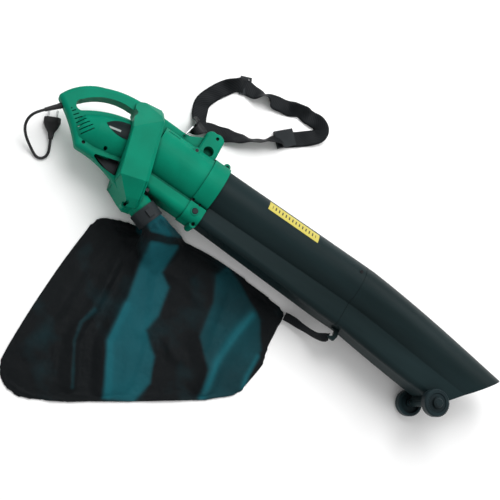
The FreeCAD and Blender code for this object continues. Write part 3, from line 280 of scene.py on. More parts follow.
# ---------------------------------------------------------------- label
# A strip of yellow vinyl on the suction tube, with plain dark bars in place of its print.
LABEL_YELLOW = (0.50, 0.43, 0.085)
LABEL_INK = (0.05, 0.05, 0.03)
LABEL_SHIFT = (-0.373, -0.076, 0)
LABEL_BAR_SCALE = 34
LABEL_BAR_CUT = 0.72
LABEL_PRINT_HALF = (0.060, 0.0045)
label_finish, label_tree, label_shader = new_material("label_vinyl")
label_place = label_tree.nodes.new("ShaderNodeTexCoord")
label_map = label_tree.nodes.new("ShaderNodeMapping")
label_map.inputs["Location"].default_value = LABEL_SHIFT
label_split = label_tree.nodes.new("ShaderNodeSeparateXYZ")
label_tree.links.new(label_place.outputs["Object"], label_map.inputs["Vector"])
label_tree.links.new(label_map.outputs["Vector"], label_split.inputs["Vector"])
label_bars = label_tree.nodes.new("ShaderNodeTexWave")
label_bars.inputs["Scale"].default_value = LABEL_BAR_SCALE
label_bars.bands_direction = "X"
label_tree.links.new(label_map.outputs["Vector"], label_bars.inputs["Vector"])
label_dark = label_tree.nodes.new("ShaderNodeMath")
label_dark.operation = "GREATER_THAN"
label_dark.inputs[1].default_value = LABEL_BAR_CUT
label_tree.links.new(label_bars.outputs["Fac"], label_dark.inputs[0])
label_band = both(
    label_tree,
    within(label_tree, label_split.outputs["X"], LABEL_PRINT_HALF[0]),
    within(label_tree, label_split.outputs["Y"], LABEL_PRINT_HALF[1]),
)
label_print = both(label_tree, label_dark.outputs[0], label_band)
label_tone = colours_by(label_tree, label_print, LABEL_YELLOW, LABEL_INK, 0.4, 0.6)
label_tree.links.new(label_tone.outputs["Color"], label_shader.inputs["Base Color"])
label_grain = object_noise(label_tree, 120)
roughness_by(label_tree, label_shader, label_grain.outputs["Fac"], 0.45, 0.6)
label_shader.inputs["Specular IOR Level"].default_value = 0.2
dress(label_finish, "warning_label")

# ---------------------------------------------------------------- steel and motor parts
# Axle, shaft, nut and ring are bright steel. The screws and the selector's shaft are dark
# steel, painted shade for the shaded holes they sit in. Bearings are ground; the stacks are
# thin sheets; coils and commutator are copper; the end bell and the bracket are cast.
BRUSHED_ALONG = (1, 1, 6)
METAL_DEPTH = 0.0002
# each metal's name, its two tones, roughness and grain, and the pieces made of it
METALS = [
    ("bright_steel", (0.56, 0.56, 0.57), (0.40, 0.40, 0.41), 0.30, 260,
     ["wheel_axle", "motor_shaft", "impeller_nut", "strap_ring", "plug_pins", "brush_holders"]),
    # dark steel as painted shade for the holes the screws and the shaft sit in
    ("hole_shade_steel", (0.035, 0.036, 0.038), (0.020, 0.020, 0.022), 0.50, 400,
     ["housing_screws", "collar_screws", "joint_screw", "selector_shaft"]),
    ("ground_steel", (0.66, 0.66, 0.68), (0.55, 0.55, 0.56), 0.18, 500,
     ["rear_bearing", "front_bearing"]),
    ("stack_sheet", (0.22, 0.22, 0.23), (0.12, 0.12, 0.13), 0.42, 900,
     ["rotor_core", "stator_core"]),
    ("copper_wire", (0.60, 0.25, 0.10), (0.36, 0.13, 0.05), 0.34, 1200,
     ["rotor_windings", "front_windings", "field_coils", "commutator"]),
    ("cast_alloy", (0.50, 0.51, 0.52), (0.38, 0.39, 0.40), 0.46, 180,
     ["motor_end_bell", "motor_bracket"]),
]
CARBON_BLACK = (0.02, 0.02, 0.02)
CARBON_WORN = (0.01, 0.01, 0.01)
PALE_NYLON = (0.62, 0.61, 0.55)
PALE_NYLON_SHADE = (0.52, 0.51, 0.46)


def worked_metal(name, base, shade, rough, grain):
    """Bare metal with a brushed or cast tone."""
    material, tree, shader = new_material(name)
    brushed = object_noise(tree, grain, 3, BRUSHED_ALONG)
    tone = colours_by(tree, brushed.outputs["Fac"], shade, base)
    tree.links.new(tone.outputs["Color"], shader.inputs["Base Color"])
    roughness_by(tree, shader, brushed.outputs["Fac"], rough - 0.08, rough + 0.1)
    bumped_by(tree, shader, brushed.outputs["Fac"], 0.15, METAL_DEPTH)
    shader.inputs["Metallic"].default_value = 1.0
    return material


for metal, base, shade, rough, grain, pieces in METALS:
    dress(worked_metal(metal, base, shade, rough, grain), *pieces)
dress(moulded_plastic("carbon", CARBON_BLACK, CARBON_WORN, rough=0.6), "carbon_brushes")
dress(moulded_plastic("pale_nylon", PALE_NYLON, PALE_NYLON_SHADE, rough=0.4), "cooling_fan")

# ---------------------------------------------------------------- wheels
# Two wheels of dark plastic on one axle, each with a moulded tread. The tread ribs are
# short bars set round the rim.
WHEEL_GREY = (0.013, 0.031, 0.036)
WHEEL_SHADE = (0.010, 0.015, 0.017)
TREAD_COUNT = 40
TREAD_RIB = (0.0016, 0.0026, 0.0170)
TREAD_RADIUS = 0.0315
TREAD_SINK = 0.0006
wheel_plastic = moulded_plastic(
    "wheel_plastic", WHEEL_GREY, WHEEL_SHADE, rough=0.38, grain=800, shine=0.12
)
dress(wheel_plastic, "right_wheel", "left_wheel", "axle_caps")


def input_socket(tree, name, kind, value):
    """A named input of a geometry tree with its starting value."""
    socket = tree.interface.new_socket(name=name, in_out="INPUT", socket_type=kind)
    socket.default_value = value


def geometry_tree(name):
    """A geometry tree with its own input and output nodes."""
    tree = bpy.data.node_groups.new(name, "GeometryNodeTree")
    tree.interface.new_socket(name="Geometry", in_out="OUTPUT", socket_type="NodeSocketGeometry")
    return tree, tree.nodes.new("NodeGroupInput"), tree.nodes.new("NodeGroupOutput")


def close_tree(tree, leave, geometry, material):
    """End a tree with real geometry and its material."""
    solid = tree.nodes.new("GeometryNodeRealizeInstances")
    finish = tree.nodes.new("GeometryNodeSetMaterial")
    finish.inputs["Material"].default_value = material
    tree.links.new(geometry, solid.inputs["Geometry"])
    tree.links.new(solid.outputs["Geometry"], finish.inputs["Geometry"])
    tree.links.new(finish.outputs["Geometry"], leave.inputs["Geometry"])


def made_by(tree, name, place, values):
    """Run a geometry tree and keep its result as a plain mesh placed in the mesh itself."""
    carrier = bpy.data.meshes.new(name + "_start")
    carrier_object = bpy.data.objects.new(name + "_start", carrier)
    bpy.context.scene.collection.objects.link(carrier_object)
    modifier = carrier_object.modifiers.new("shape", "NODES")
    modifier.node_group = tree
    for socket in tree.interface.items_tree:
        if socket.item_type == "SOCKET" and socket.name in values:
            modifier[socket.identifier] = values[socket.name]
    bpy.context.view_layer.update()
    evaluated = carrier_object.evaluated_get(bpy.context.evaluated_depsgraph_get())
    mesh = bpy.data.meshes.new_from_object(evaluated)
    mesh.name = name
    mesh.transform(place)
    bpy.data.objects.remove(carrier_object)
    piece = bpy.data.objects.new(name, mesh)
    bpy.context.scene.collection.objects.link(piece)
    return piece


tread_tree, tread_in, tread_out = geometry_tree("tread_ribs")
input_socket(tread_tree, "Ribs", "NodeSocketInt", TREAD_COUNT)
input_socket(tread_tree, "Radius", "NodeSocketFloat", TREAD_RADIUS)
input_socket(tread_tree, "Rib size", "NodeSocketVector", TREAD_RIB)
tread_ring = tread_tree.nodes.new("GeometryNodeMeshCircle")
tread_bar = tread_tree.nodes.new("GeometryNodeMeshCube")
tread_set = tread_tree.nodes.new("GeometryNodeInstanceOnPoints")
tread_spin = tread_tree.nodes.new("FunctionNodeAlignEulerToVector")
tread_spin.axis = "X"
tread_where = tread_tree.nodes.new("GeometryNodeInputPosition")
tread_tree.links.new(tread_in.outputs["Ribs"], tread_ring.inputs["Vertices"])
tread_tree.links.new(tread_in.outputs["Radius"], tread_ring.inputs["Radius"])
tread_tree.links.new(tread_in.outputs["Rib size"], tread_bar.inputs["Size"])
tread_tree.links.new(tread_where.outputs["Position"], tread_spin.inputs["Vector"])
tread_tree.links.new(tread_ring.outputs["Mesh"], tread_set.inputs["Points"])
tread_tree.links.new(tread_bar.outputs["Mesh"], tread_set.inputs["Instance"])
tread_tree.links.new(tread_spin.outputs["Rotation"], tread_set.inputs["Rotation"])
close_tree(tread_tree, tread_out, tread_set.outputs["Instances"], wheel_plastic)
for wheel in ("right_wheel", "left_wheel"):
    low, high = (Vector(corner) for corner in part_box(wheel))
    middle = (low + high) / 2
    rim = (high.x - low.x) / 2 - TREAD_SINK
    tread = made_by(
        tread_tree, wheel + "_tread", Matrix.Translation(middle), {"Radius": rim}
    )
    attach(tread, wheel)

# ---------------------------------------------------------------- collecting bag
# A collecting bag of thin black cloth, its teal a painted sheen, hangs from the cuff on the
# outlet and lies empty and crumpled on the ground. It is sewn from two flat panels along its
# edge.
BAG_BLACK = (0.004, 0.0055, 0.0065)
BAG_SHEEN_TEAL = (0.006, 0.088, 0.110)
BAG_EDGE = [
    (0.060, -0.110), (0.018, -0.122), (0.004, -0.150), (0.003, -0.200), (0.003, -0.290),
    (0.003, -0.380), (0.000, -0.470), (0.006, -0.520), (0.034, -0.550), (0.080, -0.556),
    (0.122, -0.542), (0.160, -0.524), (0.232, -0.481), (0.324, -0.424), (0.420, -0.365),
    (0.494, -0.314), (0.508, -0.292), (0.506, -0.262), (0.508, -0.216), (0.496, -0.180),
    (0.489, -0.150), (0.498, -0.100), (0.492, -0.080), (0.460, -0.074), (0.400, -0.068),
    (0.300, -0.066), (0.220, -0.068), (0.150, -0.078), (0.110, -0.098),
]
BAG_MIDDLE = Vector((0.235, -0.285, 0))
BAG_FLOOR = 0.0015
BAG_RISE = 0.014
BAG_LEAST_RISE = 0.004
EDGE_RISE = 0.003
# how fast the cloth rises behind its sewn edge
SHOULDER = 0.018
# a fold's flanks reach this many half widths from its line
FOLD_REACH = 1.6
# folds: the line each follows, its half width, and how far it stands up or dips
BAG_FOLDS = [
    (((0.117, -0.116), (0.135, -0.151), (0.159, -0.252), (0.171, -0.358), (0.232, -0.469)),
     0.022, 0.012),
    (((0.195, -0.160), (0.241, -0.248), (0.282, -0.331), (0.300, -0.418)), 0.020, -0.011),
    (((0.150, -0.140), (0.196, -0.250), (0.220, -0.330), (0.270, -0.440)), 0.030, 0.008),
    (((0.304, -0.097), (0.331, -0.157), (0.345, -0.239), (0.400, -0.293), (0.419, -0.360)),
     0.022, 0.012),
    (((0.372, -0.100), (0.380, -0.180), (0.392, -0.250)), 0.018, -0.009),
    (((0.425, -0.110), (0.416, -0.186), (0.409, -0.269), (0.423, -0.340)), 0.018, 0.010),
    (((0.096, -0.168), (0.108, -0.249), (0.112, -0.317), (0.102, -0.355), (0.111, -0.396),
      (0.162, -0.483)), 0.014, 0.010),
    (((0.070, -0.170), (0.082, -0.280), (0.080, -0.380), (0.110, -0.470)), 0.018, -0.008),
    (((0.130, -0.200), (0.136, -0.300), (0.140, -0.380), (0.190, -0.470)), 0.016, -0.009),
    (((0.040, -0.260), (0.052, -0.360), (0.040, -0.450)), 0.022, 0.006),
    (((0.196, -0.160), (0.250, -0.150), (0.300, -0.170)), 0.014, 0.007),
    (((0.230, -0.300), (0.280, -0.290), (0.330, -0.310)), 0.014, 0.006),
]


def distance_to_line(point, line):
    """How far a flat point lies from a broken line."""
    nearest = 1.0
    for start, stop in zip(line, line[1:]):
        start, stop = Vector(start), Vector(stop)
        run = stop - start
        share = max(0.0, min(1.0, (point - start).dot(run) / run.length_squared))
        nearest = min(nearest, (point - start - run * share).length)
    return nearest


def rounded(points, times):
    """A closed line with its corners cut again and again."""
    for _ in range(times):
        cut = []
        for here, there in zip(points, points[1:] + points[:1]):
            cut.append(here.lerp(there, 0.25))
            cut.append(here.lerp(there, 0.75))
        points = cut
    return points


def even_loop(points, count):
    """Points at even steps round a closed line."""
    ends = points + points[:1]
    lengths = [(b - a).length for a, b in zip(ends, ends[1:])]
    step = sum(lengths) / count
    result = []
    index, walked = 0, 0.0
    for number in range(count):
        target = number * step
        while walked + lengths[index] < target:
            walked += lengths[index]
            index += 1
        result.append(ends[index].lerp(ends[index + 1], (target - walked) / lengths[index]))
    return result


def fold_height(point):
    """How far the folds lift or lower the cloth at a flat point."""
    lift = 0.0
    for line, half, height in BAG_FOLDS:
        lift += height * max(0.0, 1 - distance_to_line(point, line) / (FOLD_REACH * half))
    return lift


EDGE_COUNT = 320
RING_COUNT = 46
bag_outline = even_loop(rounded([Vector(spot) for spot in BAG_EDGE], 2), EDGE_COUNT)
bag_shell = bmesh.new()


def panel(edge_row):
    """One panel as rings from the middle to the edge; the lower one shares the upper's edge."""
    upper = edge_row is None
    rings = []
    for ring in range(1, RING_COUNT + 1):
        share = ring / RING_COUNT
        if not upper and ring == RING_COUNT:
            rings.append(edge_row)
            continue
        row = []
        for spot in bag_outline:
            flat = BAG_MIDDLE.xy.lerp(spot, share)
            inward = (spot - flat).length
            height = BAG_FLOOR
            if upper:
                full = 1 - math.exp(-inward / SHOULDER)
                rise = max(BAG_LEAST_RISE, BAG_RISE + fold_height(flat))
                height += EDGE_RISE + full * rise
            row.append(bag_shell.verts.new((flat.x, flat.y, height)))
        rings.append(row)
    peak = BAG_FLOOR + BAG_RISE + fold_height(BAG_MIDDLE.xy) if upper else BAG_FLOOR
    centre = bag_shell.verts.new((BAG_MIDDLE.x, BAG_MIDDLE.y, peak))
    for index in range(EDGE_COUNT):
        after = (index + 1) % EDGE_COUNT
        bag_shell.faces.new((centre, rings[0][index], rings[0][after]))
    for inner, outer in zip(rings, rings[1:]):
        for index in range(EDGE_COUNT):
            after = (index + 1) % EDGE_COUNT
            bag_shell.faces.new((inner[index], outer[index], outer[after], inner[after]))
    return rings[-1]


sewn_edge = panel(None)
panel(sewn_edge)

# the neck: rings from the cuff down into the bag, with each ring's half width, half height
# and lean in degrees
NECK_STEPS = [
    ((0.0985, -0.0958, 0.085), 0.024, 0.0365, -20),
    ((0.1100, -0.1000, 0.082), 0.027, 0.0365, -16),
    ((0.1280, -0.1070, 0.068), 0.034, 0.0330, 5),
    ((0.1480, -0.1150, 0.046), 0.046, 0.0290, 30),
    ((0.1700, -0.1240, 0.026), 0.058, 0.0200, 50),
    ((0.1950, -0.1340, 0.014), 0.060, 0.0100, 60),
]
NECK_AROUND = 48
NECK_SQUARENESS = 0.75
NECK_PLEATS = 9
PLEAT_DEPTH = 0.035
OUTLET_TURN = math.radians(-20)
outlet_way = Vector((math.cos(OUTLET_TURN), math.sin(OUTLET_TURN), 0))
neck_side = Vector((-outlet_way.y, outlet_way.x, 0))


def squared(value):
    """A sine or cosine bent towards the corners of a rounded square."""
    return math.copysign(abs(value) ** NECK_SQUARENESS, value)


neck_rows = []
for place, wide, high, lean in NECK_STEPS:
    tilt = math.radians(lean)
    upward = Vector((0, 0, math.cos(tilt))) + outlet_way * math.sin(tilt)
    row = []
    for index in range(NECK_AROUND):
        turn = 2 * math.pi * index / NECK_AROUND
        pleat = 1 + PLEAT_DEPTH * math.sin(turn * NECK_PLEATS)
        side = squared(math.cos(turn)) * wide * pleat
        rise = squared(math.sin(turn)) * high * pleat
        spot = Vector(place) + neck_side * side + upward * rise
        spot.z = max(spot.z, BAG_FLOOR + 0.001)
        row.append(bag_shell.verts.new(spot))
    neck_rows.append(row)
for one, other in zip(neck_rows, neck_rows[1:]):
    for index in range(NECK_AROUND):
        after = (index + 1) % NECK_AROUND
        bag_shell.faces.new((one[index], one[after], other[after], other[index]))
bag_shell.faces.new(list(reversed(neck_rows[0])))
bag_shell.faces.new(neck_rows[-1])
bmesh.ops.recalc_face_normals(bag_shell, faces=bag_shell.faces)
bag_mesh = bpy.data.meshes.new("collecting_bag")
bag_shell.to_mesh(bag_mesh)
bag_shell.free()
bag = bpy.data.objects.new("collecting_bag", bag_mesh)
bpy.context.scene.collection.objects.link(bag)


def keep_modifiers(piece):
    """Turn a piece's modifiers into its own mesh."""
    evaluated = piece.evaluated_get(bpy.context.evaluated_depsgraph_get())
    mesh = bpy.data.meshes.new_from_object(evaluated)
    piece.modifiers.clear()
    old = piece.data
    piece.data = mesh
    bpy.data.meshes.remove(old)


CLOTH_GRAIN = 0.0045
remesh = bag.modifiers.new("remesh", "REMESH")
remesh.mode = "VOXEL"
remesh.voxel_size = CLOTH_GRAIN
keep_modifiers(bag)

# the cuff holds the mouth, and the cloth is a little larger than its outline, so it
# wrinkles as it settles
MOUTH = Vector((0.1, -0.096))
MOUTH_LOWEST = 0.055
MOUTH_DEPTH = 0.012
SETTLE_STEPS = 24
FURTHEST_MOVE = 0.014
CLOTH_LOWEST = 0.0008
GROUND_CORNERS = [(-0.3, -0.9, 0), (0.9, -0.9, 0), (0.9, 0.2, 0), (-0.3, 0.2, 0)]
bag_pins = bag.vertex_groups.new(name="held")
held = [
    vertex.index for vertex in bag.data.vertices
    if vertex.co.z > MOUTH_LOWEST
    and (vertex.co.xy - MOUTH).dot(outlet_way.xy) < MOUTH_DEPTH
]
bag_pins.add(held, 1.0, "REPLACE")
ground_mesh = bpy.data.meshes.new("settling_ground")
ground_mesh.from_pydata(GROUND_CORNERS, [], [(0, 1, 2, 3)])
ground = bpy.data.objects.new("settling_ground", ground_mesh)
bpy.context.scene.collection.objects.link(ground)
ground.modifiers.new("ground", "COLLISION")
ground.collision.thickness_outer = 0.001
ground.collision.cloth_friction = 20
cloth = bag.modifiers.new("cloth", "CLOTH")
settings = cloth.settings
settings.quality = 6
settings.mass = 0.15
settings.tension_stiffness = 20
settings.compression_stiffness = 20
settings.shear_stiffness = 8
settings.bending_stiffness = 0.25
settings.air_damping = 2
settings.use_pressure = True
settings.uniform_pressure_force = 0.12
settings.shrink_min = -0.05
settings.shrink_max = -0.05
settings.vertex_group_mass = "held"
cloth.collision_settings.distance_min = 0.001
cloth.collision_settings.use_self_collision = False
cloth.point_cache.frame_start = 1
cloth.point_cache.frame_end = SETTLE_STEPS
before = [vertex.co.copy() for vertex in bag.data.vertices]
for step in range(1, SETTLE_STEPS + 1):
    bpy.context.scene.frame_set(step)
keep_modifiers(bag)
bpy.context.scene.frame_set(1)
bpy.data.objects.remove(ground)
for vertex, start in zip(bag.data.vertices, before):
    move = vertex.co - start
    if move.length > FURTHEST_MOVE:
        vertex.co = start + move * (FURTHEST_MOVE / move.length)
    vertex.co.z = max(vertex.co.z, CLOTH_LOWEST)
smooth = bag.modifiers.new("smooth", "SMOOTH")
smooth.iterations = 4
smooth.factor = 0.5
finer = bag.modifiers.new("finer", "SUBSURF")
finer.levels = 1
finer.render_levels = 1
keep_modifiers(bag)
for face in bag.data.polygons:
    face.use_smooth = True

# painted sheen: where the cloth is painted teal as if it caught the light, patches by their
# outline, and streaks by their line, half width and strength
SHEEN_PATCHES = [
    ((0.084, -0.088), (0.096, -0.1125), (0.1236, -0.1236), (0.135, -0.151),
     (0.159, -0.252), (0.171, -0.358), (0.232, -0.469), (0.295, -0.440), (0.305, -0.386),
     (0.282, -0.331), (0.233, -0.292),
     (0.241, -0.248), (0.227, -0.180), (0.195, -0.160), (0.193, -0.083), (0.204, -0.057),
     (0.126, -0.035)),
    ((0.318, -0.060), (0.304, -0.097), (0.331, -0.157), (0.345, -0.239), (0.400, -0.293),
     (0.419, -0.360), (0.501, -0.300), (0.488, -0.184), (0.449, -0.127), (0.382, -0.087)),
]
# painted highlights along the fold ridges; a negative strength takes the painted sheen away
SHEEN_STREAKS = [
    (((0.425, -0.130), (0.414, -0.186), (0.409, -0.269), (0.423, -0.348)), 0.010, 0.45),
    (((0.489, -0.201), (0.489, -0.255), (0.494, -0.279)), 0.006, 0.4),
    (((0.112, -0.317), (0.102, -0.355), (0.111, -0.396), (0.162, -0.483)), 0.006, 0.18),
    (((0.165, -0.270), (0.178, -0.358), (0.240, -0.460)), 0.009, 0.25),
    (((0.119, -0.126), (0.161, -0.104), (0.203, -0.070)), 0.007, -1.3),
]
SHEEN_PATCH_STRENGTH = (0.62, 0.34)


def inside(point, outline):
    """How deep a flat point lies inside a closed line; negative when it is outside."""
    within_line = False
    for a, b in zip(outline, outline[1:] + outline[:1]):
        if (a[1] > point.y) != (b[1] > point.y):
            if point.x < (b[0] - a[0]) * (point.y - a[1]) / (b[1] - a[1]) + a[0]:
                within_line = not within_line
    depth = distance_to_line(point, outline + outline[:1])
    return depth if within_line else -depth


EDGE_FADE = 0.004
sheen_share = bag.data.attributes.new("painted_sheen", "FLOAT", "POINT")
for vertex in bag.data.vertices:
    flat = vertex.co.xy
    amount = 0.0
    for outline, strength in zip(SHEEN_PATCHES, SHEEN_PATCH_STRENGTH):
        amount += strength / (1 + math.exp(-2 * inside(flat, outline) / EDGE_FADE))
    for line, half, strength in SHEEN_STREAKS:
        amount += strength * math.exp(-(distance_to_line(flat, line) / half) ** 2)
    sheen_share.data[vertex.index].value = max(0.0, min(amount, 1.0))

# noise that varies at random how much painted sheen shows
SHEEN_NOISE_SCALE = 9
SHEEN_NOISE_SPREAD = 0.5
WEAVE_SCALE = 900
CRUMPLE_SCALE = 22
CRUMPLE_DEPTHS = 12
WEAVE_DEPTH = 0.0006
bag_cloth, bag_tree, bag_shader = new_material("bag_cloth")
painted_sheen = bag_tree.nodes.new("ShaderNodeAttribute")
painted_sheen.attribute_name = "painted_sheen"
sheen_noise = object_noise(bag_tree, SHEEN_NOISE_SCALE, 6)
shift = bag_tree.nodes.new("ShaderNodeMath")
shift.operation = "MULTIPLY_ADD"
shift.inputs[1].default_value = SHEEN_NOISE_SPREAD
shift.inputs[2].default_value = -SHEEN_NOISE_SPREAD / 2
bag_tree.links.new(sheen_noise.outputs["Fac"], shift.inputs[0])
sheen_amount = bag_tree.nodes.new("ShaderNodeMath")
sheen_amount.operation = "ADD"
bag_tree.links.new(painted_sheen.outputs["Fac"], sheen_amount.inputs[0])
bag_tree.links.new(shift.outputs[0], sheen_amount.inputs[1])
# black cloth, painted teal where the painted sheen lies
bag_tone = colours_by(bag_tree, sheen_amount.outputs[0], BAG_BLACK, BAG_SHEEN_TEAL, 0.02, 0.8)
bag_tree.links.new(bag_tone.outputs["Color"], bag_shader.inputs["Base Color"])
weave = bag_tree.nodes.new("ShaderNodeTexVoronoi")
weave.inputs["Scale"].default_value = WEAVE_SCALE
weave_place = bag_tree.nodes.new("ShaderNodeTexCoord")
bag_tree.links.new(weave_place.outputs["Object"], weave.inputs["Vector"])
crumple = object_noise(bag_tree, CRUMPLE_SCALE, 2.5)
relief = bag_tree.nodes.new("ShaderNodeMath")
relief.operation = "MULTIPLY_ADD"
relief.inputs[1].default_value = CRUMPLE_DEPTHS
bag_tree.links.new(crumple.outputs["Fac"], relief.inputs[0])
bag_tree.links.new(weave.outputs["Distance"], relief.inputs[2])
bumped_by(bag_tree, bag_shader, relief.outputs[0], 0.7, WEAVE_DEPTH)
bag_shader.inputs["Roughness"].default_value = 0.55
bag_shader.inputs["Specular IOR Level"].default_value = 0.09
bag_shader.inputs["Sheen Weight"].default_value = 0.015
bag_shader.inputs["Sheen Roughness"].default_value = 0.4
bag.data.materials.clear()
bag.data.materials.append(bag_cloth)
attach(bag, "machine")
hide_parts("bag")

# ---------------------------------------------------------------- bag loop
# A strip of black webbing is sewn to the bag's corner and hooks on the tube's underside.
WEB_BLACK = (0.005, 0.006, 0.007)
WEB_LIGHT = (0.010, 0.012, 0.014)
WEB_WEAVE_SCALE = 90
WEB_WEAVE_DEPTH = 0.0005
# the swing of the ripples, in radians for each metre along the webbing
SHORT_RIPPLE = 150
LONG_RIPPLE = 61
webbing, web_tree, web_shader = new_material("woven_webbing")
web_uv = web_tree.nodes.new("ShaderNodeUVMap")
web_uv.uv_map = "along"
web_weave = web_tree.nodes.new("ShaderNodeTexWave")
web_weave.bands_direction = "DIAGONAL"
web_weave.inputs["Scale"].default_value = WEB_WEAVE_SCALE
web_weave.inputs["Distortion"].default_value = 1.2
web_tree.links.new(web_uv.outputs["UV"], web_weave.inputs["Vector"])
web_tone = colours_by(web_tree, web_weave.outputs["Fac"], WEB_BLACK, WEB_LIGHT)
web_tree.links.new(web_tone.outputs["Color"], web_shader.inputs["Base Color"])
bumped_by(web_tree, web_shader, web_weave.outputs["Fac"], 0.4, WEB_WEAVE_DEPTH)
web_shader.inputs["Roughness"].default_value = 0.6
web_shader.inputs["Specular IOR Level"].default_value = 0.1
web_shader.inputs["Sheen Weight"].default_value = 0.02


def smooth_run(points, steps):
    """A smooth line through points, each given as a vector, at even shares of each gap."""
    longer = [points[0] * 2 - points[1]] + points + [points[-1] * 2 - points[-2]]
    run = []
    for a, b, c, d in zip(longer, longer[1:], longer[2:], longer[3:]):
        for step in range(steps):
            t = step / steps
            run.append(
                0.5 * (2 * b + (c - a) * t + (2 * a - 5 * b + 4 * c - d) * t * t
                       + (3 * b - 3 * c + d - a) * t ** 3)
            )
    run.append(points[-1])
    return run


def ribbon(name, stations, width, thick, steps=10, columns=6, ruffle=0.0):
    """Webbing along stations of (place, direction across it), rippled if told to."""
    centres = smooth_run([Vector(place) for place, across in stations], steps)
    leans = smooth_run([Vector(across).normalized() for place, across in stations], steps)
    shape = bmesh.new()
    along_layer = shape.loops.layers.uv.new("along")
    rows = []
    walked = 0.0
    for index, centre in enumerate(centres):
        ahead = centres[min(index + 1, len(centres) - 1)] - centres[max(index - 1, 0)]
        ahead.normalize()
        across = leans[index] - ahead * leans[index].dot(ahead)
        across.normalize()
        if index:
            walked += (centre - centres[index - 1]).length
        lowest = abs(across.z) * width / 2 + thick + ruffle
        place = Vector((centre.x, centre.y, max(centre.z, lowest)))
        face_way = across.cross(ahead)
        ends_near = min(index, len(centres) - 1 - index) / (4 * steps)
        row = []
        for column in range(columns + 1):
            share = column / columns - 0.5
            short_wave = math.sin(walked * SHORT_RIPPLE + share * 2.2)
            long_wave = math.sin(walked * LONG_RIPPLE - share * 5)
            ripple = ruffle * min(1, ends_near) * (0.6 * short_wave + 0.4 * long_wave)
            spot = place + across * (share * width) + face_way * ripple
            row.append((shape.verts.new(spot), share * width, walked))
        rows.append(row)
    for one, other in zip(rows, rows[1:]):
        for column in range(columns):
            corners = (one[column], one[column + 1], other[column + 1], other[column])
            face = shape.faces.new([corner[0] for corner in corners])
            face.smooth = True
            for loop, corner in zip(face.loops, corners):
                loop[along_layer].uv = (corner[1], corner[2])
    mesh = bpy.data.meshes.new(name)
    shape.to_mesh(mesh)
    shape.free()
    mesh.materials.append(webbing)
    piece = bpy.data.objects.new(name, mesh)
    bpy.context.scene.collection.objects.link(piece)
    shell = piece.modifiers.new("thickness", "SOLIDIFY")
    shell.thickness = thick
    shell.offset = 0
    keep_modifiers(piece)
    return piece, walked


LOOP_WIDTH = 0.020
LOOP_THICK = 0.0014
LOOP_STATIONS = [
    ((0.492, -0.088, 0.016), (0, 1, 0)),
    ((0.512, -0.0870, 0.020), (0, 1, 0.3)),
    ((0.540, -0.0910, 0.034), (0, 0.5, 0.9)),
    ((0.572, -0.0950, 0.056), (0, 0.4, 0.9)),
    ((0.586, -0.0920, 0.076), (0, 0.8, 0.6)),
    ((0.589, -0.0895, 0.0865), (0, 0.96, 0.28)),
]
loop_piece, loop_length = ribbon("bag_loop_webbing", LOOP_STATIONS, LOOP_WIDTH, LOOP_THICK)
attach(loop_piece, "machine")
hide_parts("bag_loop")

# ---------------------------------------------------------------- shoulder strap
# One length of 38 mm webbing runs from the wire ring in a loose loop over the ground and
# back to the ring, with a slide and a buckle on it.
STRAP_WIDTH = 0.038
STRAP_THICK = 0.0016
STRAP_RUFFLE = 0.0022
# places along the strap, each with the way that its width points there
STRAP_STATIONS = [
    ((0.0685, 0.1375, 0.085), (0, 0, 1)),
    ((0.0700, 0.1450, 0.082), (-0.1, 0, 1)),
    ((0.0740, 0.1600, 0.064), (-0.6, 0.2, 0.8)),
    ((0.0790, 0.1760, 0.034), (-1, 0.1, 0.45)),
    ((0.0780, 0.1920, 0.010), (-1, -0.1, 0.1)),
    ((0.0680, 0.2120, 0.003), (-1, -0.3, 0.05)),
    ((0.0610, 0.2400, 0.003), (-1, 0.05, 0)),
    ((0.0700, 0.2700, 0.004), (-1, 0.3, 0.15)),
    ((0.0860, 0.3010, 0.006), (-0.9, 0.6, 0.2)),
    ((0.1070, 0.3230, 0.010), (-0.5, 0.5, 0.8)),
    ((0.1260, 0.3350, 0.006), (-0.35, 0.93, 0.1)),
    ((0.1530, 0.3370, 0.006), (-0.2, 1, -0.25)),
    ((0.1769, 0.3423, 0.012), (-0.1, 0.4, -0.9)),
    ((0.2020, 0.3470, 0.007), (-0.1, 1, -0.2)),
    ((0.2410, 0.3560, 0.006), (-0.25, 1, 0.1)),
    ((0.2700, 0.3630, 0.011), (-0.2, 0.5, 0.8)),
    ((0.2990, 0.3690, 0.006), (-0.2, 1, 0.1)),
    ((0.3220, 0.3670, 0.012), (0.1, 0.8, 0.55)),
    ((0.3390, 0.3590, 0.012), (0.8, 0.6, 0.5)),
    ((0.3410, 0.3430, 0.010), (1, -0.3, 0.3)),
    ((0.3270, 0.3260, 0.005), (0.8, -0.6, 0)),
    ((0.3020, 0.3040, 0.003), (0.7, -0.7, 0)),
    ((0.2750, 0.2820, 0.004), (0.7, -0.7, 0)),
    ((0.2560, 0.2650, 0.010), (0.4, -0.5, 0.75)),
    ((0.2330, 0.2440, 0.014), (0.2, -0.3, 0.92)),
    ((0.2040, 0.2260, 0.014), (0.3, -0.4, 0.85)),
    ((0.1710, 0.2110, 0.010), (0.35, -0.8, 0.5)),
    ((0.1360, 0.1980, 0.005), (0.4, -0.9, 0.1)),
    ((0.1080, 0.1890, 0.008), (0.8, -0.6, 0)),
    ((0.0900, 0.1760, 0.030), (1, -0.3, 0)),
    ((0.0800, 0.1620, 0.058), (0.8, -0.1, -0.6)),
    ((0.0745, 0.1480, 0.080), (0.3, 0, -1)),
    ((0.0710, 0.1385, 0.085), (0, 0, -1)),
]
strap, strap_length = ribbon(
    "shoulder_webbing", STRAP_STATIONS, STRAP_WIDTH, STRAP_THICK, ruffle=STRAP_RUFFLE
)
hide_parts("shoulder_strap")
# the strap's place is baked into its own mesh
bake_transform(strap)

